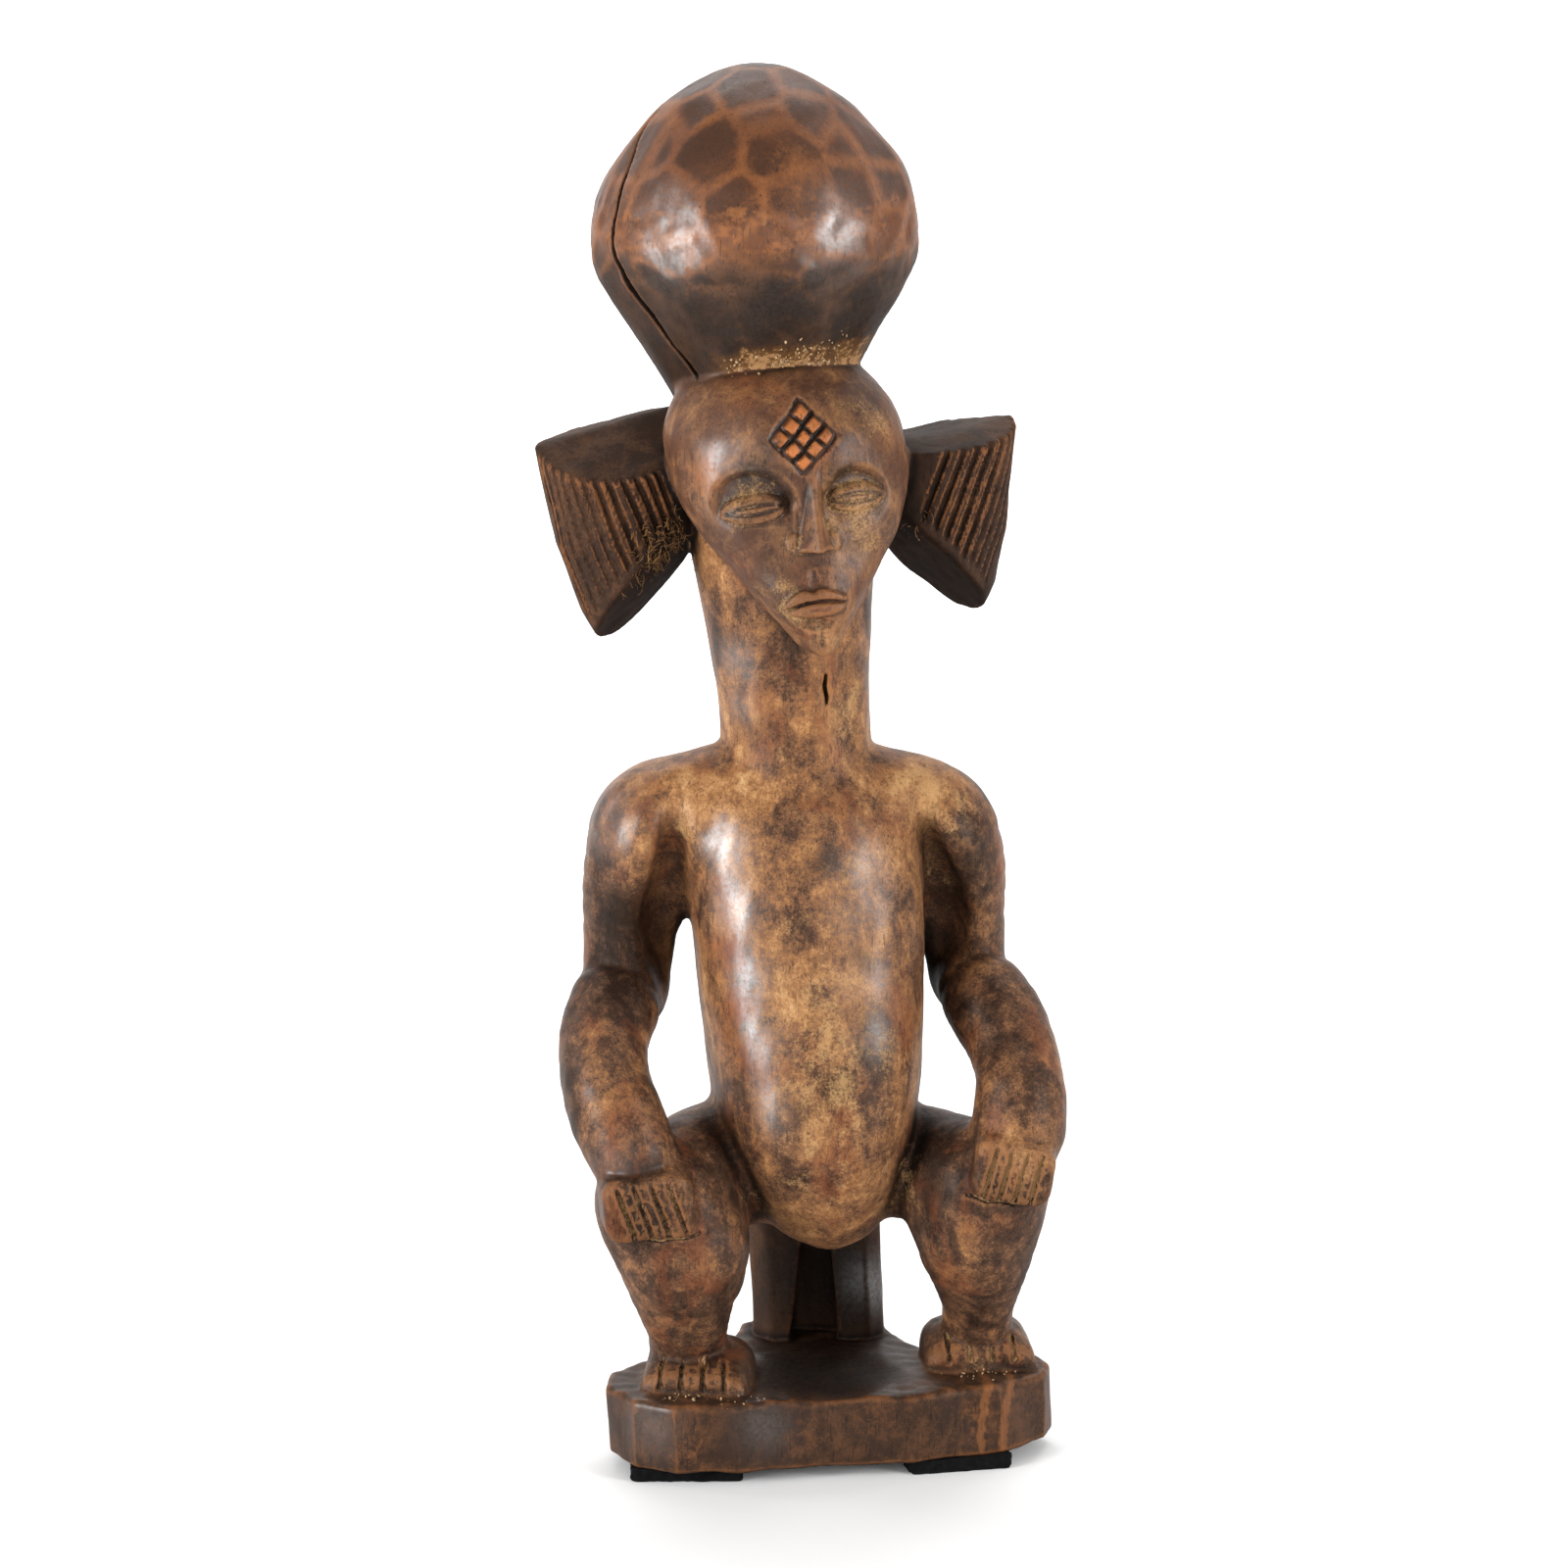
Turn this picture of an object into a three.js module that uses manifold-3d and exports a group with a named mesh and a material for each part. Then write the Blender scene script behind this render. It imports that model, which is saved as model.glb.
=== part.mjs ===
// A carved hardwood figure that squats on a low block seat, with its hands on its knees.
// The figure, its seat and its slab base are one block of wood; three felt pads are stuck under the base.
// Millimetres, +Z up. The figure faces -Y, so its right hand is on the -X side.
import * as THREE from "three";
import { mergeVertices } from "three/addons/utils/BufferGeometryUtils.js";
import Module from "manifold-3d";

const wasm = await Module();
wasm.setup();

const RIGHT = -1;
const LEFT = 1;

// The carving leans to its own right by this much for each millimetre of height.
const LEAN = 0.045;

const PAD_THICKNESS = 4;
const BASE_TOP = 24;
const CHIN_Z = 237;
const KNOT = { x: -4.2, y: 10, middle: 350, foot: 298 };

// The head looks a little to the figure's left and tips to its right, about a point in the neck.
const HEAD_SET = { x: -0.8, turn: 9, tip: -3.5 };

const vec = (x, y, z) => new THREE.Vector3(x, y, z);
const radians = THREE.MathUtils.degToRad;

// One repeatable number from 0 to 1 for each pair of whole numbers, for hand-cut unevenness.
function uneven(a, b) {
  const wave = Math.sin(a * 12.9898 + b * 78.233) * 43758.5453;
  return wave - Math.floor(wave);
}

// A station table read smoothly: rows of numbers in, the row at place t (0 to 1) out.
function smoothRow(rows, t) {
  const place = t * (rows.length - 1);
  const i = Math.min(Math.floor(place), rows.length - 2);
  const f = place - i;
  const row = (k) => rows[Math.min(Math.max(k, 0), rows.length - 1)];
  const [a, b, c, d] = [row(i - 1), row(i), row(i + 1), row(i + 2)];
  return b.map((_, k) => {
    const slopeIn = (c[k] - a[k]) / 2;
    const slopeOut = (d[k] - b[k]) / 2;
    const rise = c[k] - b[k];
    const bend = 3 * rise - 2 * slopeIn - slopeOut;
    const twist = slopeIn + slopeOut - 2 * rise;
    return b[k] + f * (slopeIn + f * (bend + f * twist));
  });
}

// A closed geometry through rings of points, each anticlockwise when seen from the last ring's end.
function loft(rings) {
  const sides = rings[0].length;
  const points = rings.flat();
  const faces = [];
  for (let r = 0; r + 1 < rings.length; r++) {
    for (let s = 0; s < sides; s++) {
      const a = r * sides + s;
      const b = r * sides + ((s + 1) % sides);
      faces.push(a, b, b + sides, a, b + sides, a + sides);
    }
  }
  const last = points.length - sides;
  for (let s = 1; s + 1 < sides; s++) {
    faces.push(0, s + 1, s);
    faces.push(last, last + s, last + s + 1);
  }
  const geometry = new THREE.BufferGeometry().setFromPoints(points);
  geometry.setIndex(faces);
  return geometry;
}

// A level ring: half width, depth to the front and to the back, and squareness (2 is an ellipse).
function levelRing(x, y, z, halfWidth, front, back, square, sides) {
  return Array.from({ length: sides }, (_, i) => {
    const angle = (2 * Math.PI * i) / sides;
    const c = Math.cos(angle);
    const s = Math.sin(angle);
    const along = Math.sign(c) * Math.abs(c) ** (2 / square);
    const across = Math.sign(s) * Math.abs(s) ** (2 / square);
    return vec(x + halfWidth * along, y + (s < 0 ? front : back) * across, z);
  });
}

// A trunk form from rows of [z, x, y, half width, front, back, squareness].
function trunk(rows, steps, sides) {
  const rings = Array.from({ length: steps + 1 }, (_, i) => {
    const [z, x, y, halfWidth, front, back, square] = smoothRow(rows, i / steps);
    return levelRing(x, y, z, halfWidth, front, back, square, sides);
  });
  return loft(rings);
}

// A round limb with rounded ends from rows of [x, y, z, radius].
function limb(rows, steps, sides, endSteps = [0.96, 0.6]) {
  const at = (t) => smoothRow(rows, Math.min(Math.max(t, 0), 1));
  const centre = (t) => vec(...at(t).slice(0, 3));
  const rings = [];
  const ring = (t, slide, share) => {
    const along = centre(t + 0.01).sub(centre(t - 0.01)).normalize();
    const side = vec(0, 1, 0).addScaledVector(along, -along.y).normalize();
    if (Math.abs(along.y) > 0.9) side.set(1, 0, 0).addScaledVector(along, -along.x).normalize();
    const other = along.clone().cross(side);
    const radius = at(t)[3];
    rings.push(
      Array.from({ length: sides }, (_, i) => {
        const angle = (2 * Math.PI * i) / sides;
        return centre(t)
          .addScaledVector(along, slide * radius)
          .addScaledVector(side, share * radius * Math.cos(angle))
          .addScaledVector(other, share * radius * Math.sin(angle));
      }),
    );
  };
  endSteps.forEach((s) => ring(0, -s, Math.sqrt(1 - s * s)));
  for (let i = 0; i <= steps; i++) ring(i / steps, 0, 1);
  [...endSteps].reverse().forEach((s) => ring(1, s, Math.sqrt(1 - s * s)));
  return loft(rings);
}

// A manifold solid from a closed geometry.
function solid(geometry) {
  const bare = geometry.index ? geometry.toNonIndexed() : geometry.clone();
  bare.deleteAttribute("normal");
  bare.deleteAttribute("uv");
  const merged = mergeVertices(bare, 1e-3);
  return new wasm.Manifold(
    new wasm.Mesh({
      numProp: 3,
      vertProperties: merged.attributes.position.array,
      triVerts: new Uint32Array(merged.index.array),
    }),
  );
}

const join = (solids) => solids.reduce((whole, one) => whole.add(one));
const cut = (body, tools) => tools.reduce((rest, tool) => rest.subtract(tool), body);

// A geometry set at a place after turns about its own X, Y and Z.
function placed(geometry, place, turns = [0, 0, 0]) {
  const turned = new THREE.Euler(...turns.map(radians), "ZYX");
  return geometry.clone().applyMatrix4(
    new THREE.Matrix4().makeRotationFromEuler(turned).setPosition(...place),
  );
}

function egg(place, radii, turns, segments = 10) {
  const ball = new THREE.SphereGeometry(1, segments, Math.round(segments * 0.6));
  return solid(placed(ball.scale(...radii), place, turns));
}

// A slab that takes away everything on the far side of a plane.
function beyond(point, normal) {
  const reach = 260;
  const direction = normal.clone().normalize();
  const turn = new THREE.Quaternion().setFromUnitVectors(vec(0, 0, 1), direction);
  const slab = new THREE.BoxGeometry(reach, reach, reach).translate(0, 0, reach / 2);
  return solid(slab.applyQuaternion(turn).translate(point.x, point.y, point.z));
}

// A V-shaped gouge cut along a path sunk into a surface: places and inward directions in pairs.
function gougeAlong(path, width, depth) {
  const proud = 0.8;
  const sections = path.map(([place, into], i) => {
    const before = path[Math.max(i - 1, 0)][0];
    const after = path[Math.min(i + 1, path.length - 1)][0];
    const along = after.clone().sub(before).normalize();
    const down = into.clone().addScaledVector(along, -into.dot(along)).normalize();
    const across = along.clone().cross(down).multiplyScalar(width / 2);
    const lift = place.clone().addScaledVector(down, -proud);
    return [lift.clone().add(across), lift.clone().sub(across), place.clone().addScaledVector(down, depth)];
  });
  const made = solid(loft(sections));
  return made.volume() > 0 ? made : solid(loft(sections.reverse()));
}

const gouge = (from, to, into, width, depth) => gougeAlong([[from, into], [to, into]], width, depth);

// The torso is a barrel with a flattened front; the belly juts forward and tucks under to the groin.
// Each row is [z, x, y, half width, front, back, squareness].
const TORSO = [
  [60, 2.3, 0, 6, 13, 18, 2.1],
  [65, 2, 0, 14.5, 22, 26, 2.2],
  [74, 1.3, 0, 21, 30, 28, 2.3],
  [85, 0.5, 0, 26, 37, 27, 2.4],
  [97, 0.3, 0, 28.5, 41.5, 25, 2.5],
  [110, 0.9, 0, 30, 40.5, 23, 2.6],
  [128, 1, 0, 31.5, 37.5, 23, 2.7],
  [150, 1, 1, 32.7, 34.5, 24, 2.7],
  [172, 0.6, 2, 34, 31.5, 24, 2.6],
  [188, 0, 3, 33, 28, 23, 2.4],
  [198, 0, 3, 27, 22, 21, 2.2],
  [204, 0, 3, 20, 16, 18, 2],
];

// The neck flares into the chest below, and widens upwards into the head and the foot of the topknot.
const COLUMN = [
  [188, 0.6, 3, 31, 30, 22, 2.1],
  [198, 0.6, 3, 24.5, 24.5, 21, 2.1],
  [208, 0.6, 3, 21.3, 21, 21, 2.1],
  [220, 0.3, 3, 21.4, 21, 22, 2.1],
  [236, 0, 4, 22.9, 22.5, 23.5, 2.1],
  [254, -0.6, 5, 25.2, 25.5, 26, 2.1],
  [274, -1.5, 6, 27.4, 27.3, 28, 2.1],
  [288, -2.6, 8, 28.4, 28, 29, 2.1],
  [298, -3.6, 9, 26.5, 27, 28.5, 2],
];

// The face is a heart-shaped mask in front of the neck, with its rim set back from chin to temples.
const HEAD = [
  [CHIN_Z, 0.7, -31, 1.5, 6.5, 3, 2],
  [CHIN_Z + 1.5, 0.7, -31, 4, 8.5, 6, 2],
  [CHIN_Z + 4.5, 0.8, -30, 6.6, 10, 10, 2.1],
  [CHIN_Z + 9.5, 1, -29, 10, 11.5, 12, 2.2],
  [CHIN_Z + 14, 1.2, -28, 13.4, 12.7, 14, 2.2],
  [CHIN_Z + 18.5, 1.3, -26, 16.8, 14.7, 16, 2.3],
  [CHIN_Z + 23, 1.5, -24, 20.3, 16.5, 18, 2.3],
  [CHIN_Z + 27.5, 1.7, -22, 23.9, 18, 20, 2.3],
  [CHIN_Z + 32, 1.9, -20, 26.8, 19.8, 22, 2.3],
  [CHIN_Z + 37, 2.1, -18, 29.4, 21, 24, 2.2],
  [CHIN_Z + 42.5, 2.2, -16, 31.8, 22.5, 25, 2.2],
  [CHIN_Z + 49, 2.3, -13, 33.5, 26, 26, 2.2],
  [CHIN_Z + 56.5, 2.3, -11, 33.6, 28, 26, 2.1],
  [CHIN_Z + 62.5, 2.3, -9, 32.6, 28.4, 26, 2.1],
  [CHIN_Z + 69, 2.3, -7, 29.8, 26.5, 24, 2],
  [CHIN_Z + 74, 2.2, -5, 25.8, 23.5, 22, 2],
  [CHIN_Z + 79, 2, -3, 19.5, 18.5, 18, 2],
  [CHIN_Z + 83, 2, -1, 10, 10, 10, 2],
];

// The shoulders are one rounded yoke from arm to arm. Limb rows are [x, y, z, radius].
const YOKE = [
  [-37, 3, 181, 20.2], [-18, 3, 182, 20.6], [0, 3, 182, 20.6], [16, 3, 182, 20.6], [33.5, 3, 180.5, 20],
];

// Each arm is an upper arm and a fuller forearm that meet in a crease at the elbow.
const UPPER_ARM = {
  [RIGHT]: [[-41.2, 3, 176.5, 18.9], [-44.6, 4, 167, 17.3], [-48.4, 5, 154, 14.3], [-50.6, 5, 136, 12.6]],
  [LEFT]: [[39.2, 3, 176.5, 18.9], [42.4, 4, 167, 16.6], [45.5, 5, 154, 13.2], [46.8, 5, 136, 11.2]],
};
const FOREARM = {
  [RIGHT]: [
    [-53.5, 1, 135, 10.6], [-56, -6, 131, 12.9], [-59.6, -14, 124, 12.7], [-60.4, -23, 115, 12.6],
    [-58, -30, 106, 13.2], [-54.5, -33.5, 97, 13],
  ],
  [LEFT]: [
    [48, 1, 135, 10.2], [51, -6, 131, 13], [55, -14, 124, 12.9], [56.8, -23, 116, 12.3],
    [56.4, -30, 109, 13], [55.2, -33, 101, 13.2],
  ],
};

// Each leg is a level thigh that runs out to the knee, and a shin that tapers to the ankle.
const THIGH = {
  [RIGHT]: [[-10, 12, 81, 17.5], [-24, 0, 83, 18.4], [-36.5, -14, 83, 18.2], [-46.6, -27, 79.5, 17.3]],
  [LEFT]: [[10, 12, 82, 17], [24, 0, 83, 17], [36, -14, 83, 16.8], [45.6, -26, 82, 16.8]],
};
const SHIN = {
  [RIGHT]: [
    [-46.5, -28, 79, 17.3], [-41.6, -27, 68, 19.6], [-41.4, -24, 56, 15.8],
    [-40.8, -20.5, 47, 13.2], [-40.2, -16.5, 38, 11.3], [-40, -14, 29, 11.3],
  ],
  [LEFT]: [
    [45.4, -26.5, 81, 16.8], [42.9, -24, 69, 17.8], [43.6, -19.5, 58, 14.6],
    [44.2, -15, 49, 11.9], [44.5, -10.5, 41, 10.3], [44, -7, 30, 10.3],
  ],
};

// Each hand lies on its knee, flat, with the fingers pointing down: middle, turns and size.
const HAND = {
  [RIGHT]: { place: [-51.2, -49.5, 84.3], turns: [5, -4, 5], size: [26, 18.5], slant: 14 },
  [LEFT]: { place: [51.4, -48, 91], turns: [5, 11, -6], size: [23, 18], slant: -6 },
};
const FOOT = {
  [RIGHT]: { x: -41, toes: -32, length: 30, halfWidth: 15.2, out: -12, lift: 0 },
  [LEFT]: { x: 44, toes: -18.5, length: 22, halfWidth: 15.8, out: 0, lift: 1.4 },
};

// Each side lobe of the hair is a slanting half cone. Its wall comes in from the lid to the tip:
// [z, outermost x, half width, half depth].
// Two planes top it, and one cuts it away from the tip up to the neck.
const LOBE = {
  [RIGHT]: {
    wall: [
      [225, 47.5, 15, 12], [234, 53.2, 16, 13], [244.5, 58.4, 17.5, 14.5],
      [264, 64.6, 20.5, 16.5], [291, 69, 24, 18], [306, 70.6, 26, 18.5],
    ],
    lid: [[290.9, -0.12, -0.6], [291.5, -0.24, 0.05]],
    under: { x: 49.5, y: 17, z: 232.6, inward: 1, forward: 0.62 },
    grooves: [14, 26, 38, 53, 66, 77, 88],
    twist: 0.2,
  },
  [LEFT]: {
    wall: [
      [228, 47.5, 15, 12], [239, 53.2, 16, 13], [251, 59.2, 18, 14.5],
      [266, 62.7, 20.5, 16.5], [296, 67.2, 24, 18], [310, 69, 26, 18.5],
    ],
    lid: [[296.3, 0.05, -0.3], [297.3, 0.17, 0]],
    under: { x: 49.6, y: 17, z: 240.2, inward: 0.93, forward: 0.55 },
    grooves: [-12, 0, 12, 24, 36, 48, 60, 73],
    twist: 1,
  },
};
const LOBE_Y = 4;

const SEAT = { x: 1.7, y: 26, halfWidth: 19.3, halfDepth: 11, turn: -7, top: 72 };

// The base in plan: a hand-cut slab, broad in front and narrow behind, under the seat.
const BASE = [
  [-64.4, -20], [-58.4, -35], [-47, -41.5], [-30, -41.8], [-6, -39.8], [20, -39], [47, -33],
  [61.5, -22.5], [64.2, -12], [60, -3], [30, 7.5], [24, 16], [21, 33], [8, 39.5], [-10, 39.5],
  [-21, 33], [-26, 18], [-36, 9], [-54, 1.5], [-62.4, -8.5],
];

const PADS = {
  front_right: { x: -43.2, y: -26, width: 32, depth: 22, turn: -5 },
  front_left: { x: 33.6, y: -25.5, width: 30, depth: 22, turn: 6 },
  back: { x: -1, y: 24, width: 30, depth: 22, turn: 0 },
};

// The topknot is a balloon cut in flat adze facets: [radius, z, outward slope up, facets, shift in x].
const KNOT_ROWS = [
  [37.6, 327, -31, 13, -1.2],
  [45, 340.5, -16, 15, -0.9],
  [46, 351, 2, 16, 0],
  [43, 362.5, 20, 15, 1.6],
  [36.8, 374, 37, 13, 2.4],
  [28.1, 384, 50, 10, 2.6],
  [17.4, 391, 63, 6, 2.6],
  [0, 395.4, 90, 1, 2.6],
];

function topknot() {
  const middle = vec(KNOT.x, KNOT.y, 0);
  const tall = 120;
  const log = new THREE.CylinderGeometry(60, 60, tall, 24).rotateX(Math.PI / 2);
  let ball = solid(log.translate(KNOT.x, KNOT.y, KNOT.foot + tall / 2));
  KNOT_ROWS.forEach(([radius, z, rise, facets, shift], row) => {
    for (let i = 0; i < facets; i++) {
      const jitter = uneven(row, i) - 0.5;
      const around = (2 * Math.PI * (i + (row % 2) / 2 + 0.35 * jitter)) / facets;
      const up = radians(rise + 5 * (uneven(i, row + 7) - 0.5));
      const outward = vec(Math.cos(around) * Math.cos(up), Math.sin(around) * Math.cos(up), Math.sin(up));
      const touch = vec(Math.cos(around) * radius, Math.sin(around) * radius, z).add(middle);
      touch.addScaledVector(outward, 0.9 * (uneven(row + 3, i) - 0.6)).add(vec(shift, 0, 0));
      ball = ball.subtract(beyond(touch, outward));
    }
  });
  return cut(ball, [dryingCrack()]);
}

// A drying crack runs down the right side of the topknot, from the crown to its foot.
const CRACK = { bearing: 63, depth: 11, width: 1.9, top: 388, bottom: 306 };

function dryingCrack() {
  const outline = new THREE.Shape();
  const reach = 56;
  const bulge = (z) => 46 * Math.sqrt(Math.max(0, 1 - ((z - KNOT.middle + 4) / 52) ** 2)) - CRACK.depth;
  outline.moveTo(reach, CRACK.bottom);
  outline.lineTo(reach, CRACK.top);
  const steps = 7;
  for (let i = 0; i <= steps; i++) {
    const z = CRACK.top + ((CRACK.bottom - CRACK.top) * i) / steps;
    outline.lineTo(i === 0 || i === steps ? bulge(z) + CRACK.depth : bulge(z), z);
  }
  const sheet = new THREE.ExtrudeGeometry(outline, { depth: CRACK.width, bevelEnabled: false });
  sheet.translate(0, 0, -CRACK.width / 2).rotateX(Math.PI / 2);
  sheet.rotateZ(radians(-90 - CRACK.bearing));
  return solid(sheet.translate(KNOT.x, KNOT.y, 0));
}

// One side lobe of the hair, with its gouged wall.
function lobe(side) {
  const { wall, lid, under, grooves, twist } = LOBE[side];
  const section = (z) => {
    const i = Math.max(1, wall.findIndex(([level]) => level >= z));
    const share = (z - wall[i - 1][0]) / (wall[i][0] - wall[i - 1][0]);
    return wall[i - 1].map((value, k) => value + share * (wall[i][k] - value));
  };
  const rings = wall.map(([z, outer, wide, deep]) =>
    levelRing(side * (outer - wide), LOBE_Y, z, wide, deep, deep, 2, 18),
  );
  const outerTop = section(lid[0][0])[1];
  const lids = lid.map(([z, outward, forward]) =>
    beyond(vec(side * outerTop, LOBE_Y, z), vec(-side * outward, forward, 1)),
  );
  const lidHeight = (x, y) =>
    Math.min(...lid.map(([z, outward, forward]) => z + outward * (x - outerTop) - forward * (y - LOBE_Y)));
  const inward = vec(-side * under.inward, -under.forward, -1);
  const underCut = beyond(vec(side * under.x, under.y, under.z), inward);
  const body = cut(solid(loft(rings)), [...lids, underCut]);
  const cuts = [];
  for (const face of [-1, 1]) {
    // The hidden side of the wall is gouged more sparsely.
    for (const start of face < 0 ? grooves : grooves.filter((_, i) => i % 2)) {
      const top = lid[0][0] + 3;
      const at = (z) => {
        const angle = radians(start + twist * (top - z));
        const [, outer, wide, deep] = section(z);
        const x = outer - wide * (1 - Math.cos(angle));
        const y = LOBE_Y + face * deep * Math.sin(angle);
        const into = vec(-side * Math.cos(angle), -face * Math.sin(angle), 0.1);
        return { x, y, into };
      };
      const clearOfUnderCut = (z) => {
        const { x, y } = at(z);
        const front = LOBE_Y - Math.abs(y - LOBE_Y);
        return z > under.z + under.inward * (under.x - x) + under.forward * (under.y - front) + 5;
      };
      let low = top - 6;
      while (low > wall[1][0] + 7 && clearOfUnderCut(low)) low -= 1;
      const parts = twist > 0.5 ? 3 : 2;
      const stops = Array.from({ length: parts + 1 }, (_, i) => top + 4 + ((low - top - 4) * i) / parts);
      cuts.push(gougeAlong(stops.map((z) => [vec(side * at(z).x, at(z).y, z), at(z).into]), 1.9, 1.4));
    }
  }
  return cut(body, cuts);
}

// Front of the face at a height and a place across, in the head's own frame.
function facePoint(x, z) {
  const rows = HEAD;
  let t = 0;
  while (t < 1 && smoothRow(rows, t)[0] < z) t += 0.002;
  const [, cx, cy, halfWidth, front, , square] = smoothRow(rows, t);
  const share = Math.min(Math.abs((x - cx) / halfWidth), 1);
  return vec(x, cy - front * (1 - share ** square) ** (1 / square), z);
}

const EYE = { x: 14, z: 279.6, width: 9.4, height: 3 };
const NOSE = { x: 0.8, top: 283, tip: 268, halfWidth: 5.6, proud: 6.5 };
const MOUTH = { z: 251.6, halfWidth: 9.4 };
const LOZENGE = { x: 0.8, z: 295.4, side: 15.4, cells: 3, turn: 3 };

// The face: arched brows over sunk sockets, slit lens-shaped eyes, a short nose and full lips.
function face(mask) {
  const sockets = [-1, 1].map((s) => {
    const p = facePoint(s * (EYE.x + 0.4), EYE.z + 1);
    return egg([p.x, p.y - 2.6, p.z + 1.2], [11, 5.4, 8.6], [0, 0, s * 22]);
  });
  const hollow = cut(mask, sockets);
  const features = [];
  const slits = [];
  for (const s of [-1, 1]) {
    const p = facePoint(s * EYE.x, EYE.z);
    features.push(egg([p.x, p.y + 2.4, p.z], [EYE.width, 3.4, EYE.height + 1], [0, 0, s * 20]));
    const across = vec(Math.cos(radians(s * 24)), Math.sin(radians(s * 24)), 0).multiplyScalar(7);
    const middle = vec(p.x, p.y - 0.7, p.z - 0.4);
    slits.push(gouge(middle.clone().sub(across), middle.clone().add(across), vec(0, 1, 0), 1.3, 1));
  }
  features.push(nose(), ...lips());
  return cut(join([hollow, ...features]), [...slits, ...lozengeGrooves()]);
}

function nose() {
  const rows = [
    [NOSE.tip - 0.5, 0.55, 0.55],
    [NOSE.tip + 1, 1, 1],
    [NOSE.tip + 5, 0.86, 0.88],
    [NOSE.tip + 11, 0.5, 0.62],
    [NOSE.top, 0.42, 0.36],
    [NOSE.top + 4, 0.3, 0.12],
  ];
  const rings = rows.map(([z, wide, proud]) => {
    const root = facePoint(NOSE.x, z);
    return levelRing(NOSE.x, root.y + 2.5, z, NOSE.halfWidth * wide, 2.5 + NOSE.proud * proud, 3, 1.9, 10);
  });
  return solid(loft(rings));
}

function lips() {
  const p = facePoint(0, MOUTH.z);
  const half = MOUTH.halfWidth;
  const upper = [-1, 1].map((s) =>
    egg([s * half * 0.42, p.y + 1.4, p.z + 1.9], [half * 0.62, 3.4, 2.2], [0, s * 17, s * 12]),
  );
  const lower = egg([0, p.y + 1.6, p.z - 2.2], [half * 0.72, 3.5, 2.3], [0, 0, 0]);
  return [...upper, lower];
}

// The raised lozenge on the forehead is three by three small squares left between crossed grooves.
function lozengeGrooves() {
  const made = [];
  const { x, z, side, cells, turn } = LOZENGE;
  for (let k = 0; k <= cells; k++) {
    const off = side * (k / cells - 0.5);
    for (const slant of [45, 135]) {
      const angle = radians(slant + turn);
      const end = (u, v) => {
        const px = x + u * Math.cos(angle) - v * Math.sin(angle);
        const pz = z + u * Math.sin(angle) + v * Math.cos(angle);
        return facePoint(px, pz);
      };
      const stops = [-0.54, 0, 0.54];
      made.push(gougeAlong(stops.map((u) => [end(u * side, off), vec(0, 1, -0.2)]), 1.7, 1.4));
    }
  }
  return made;
}

function head() {
  const mask = solid(trunk(HEAD, 15, 26));
  const { x, turn, tip } = HEAD_SET;
  const about = (matrix) =>
    new THREE.Matrix4().makeTranslation(x, 0, CHIN_Z).multiply(matrix).multiply(
      new THREE.Matrix4().makeTranslation(0, 0, -CHIN_Z),
    );
  const set = new THREE.Matrix4().makeRotationY(radians(tip)).multiply(
    new THREE.Matrix4().makeRotationZ(radians(turn)),
  );
  return face(mask).transform(about(set).elements);
}

// Extrusion settings for one chamfer that keeps the outline's own size.
const chamfered = (size) => ({
  bevelEnabled: true,
  bevelThickness: size,
  bevelSize: size,
  bevelOffset: -size,
  bevelSegments: 1,
});

function hand(side) {
  const { place, turns, size, slant } = HAND[side];
  const [width, length] = size;
  const outline = new THREE.Shape();
  const corner = 6;
  outline.moveTo(-width / 2, -length / 2);
  outline.lineTo(width / 2, -length / 2);
  outline.lineTo(width / 2, length / 2 - corner);
  outline.absarc(width / 2 - corner, length / 2 - corner, corner, 0, Math.PI / 2);
  outline.lineTo(corner - width / 2, length / 2);
  outline.absarc(corner - width / 2, length / 2 - corner, corner, Math.PI / 2, Math.PI);
  const thick = 10;
  const slab = new THREE.ExtrudeGeometry(outline, { depth: thick, curveSegments: 3, ...chamfered(1.6) });
  slab.rotateX(Math.PI / 2).translate(0, thick, 0);
  const fingers = [-1.5, -0.5, 0.5, 1.5].map((k) => {
    const x = (k * width) / 5.4;
    const shift = Math.tan(radians(slant)) * length * 0.5;
    const knuckle = vec(x - shift, -1.6, length * 0.3);
    const tip = vec(x + shift, -1.6, -length / 2 - 1);
    return gouge(knuckle, tip, vec(0, 1, 0), 1.8, 1.6);
  });
  const made = cut(solid(slab), fingers);
  const turned = new THREE.Euler(...turns.map(radians), "ZYX");
  return made.transform(new THREE.Matrix4().makeRotationFromEuler(turned).setPosition(...place).elements);
}

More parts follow.
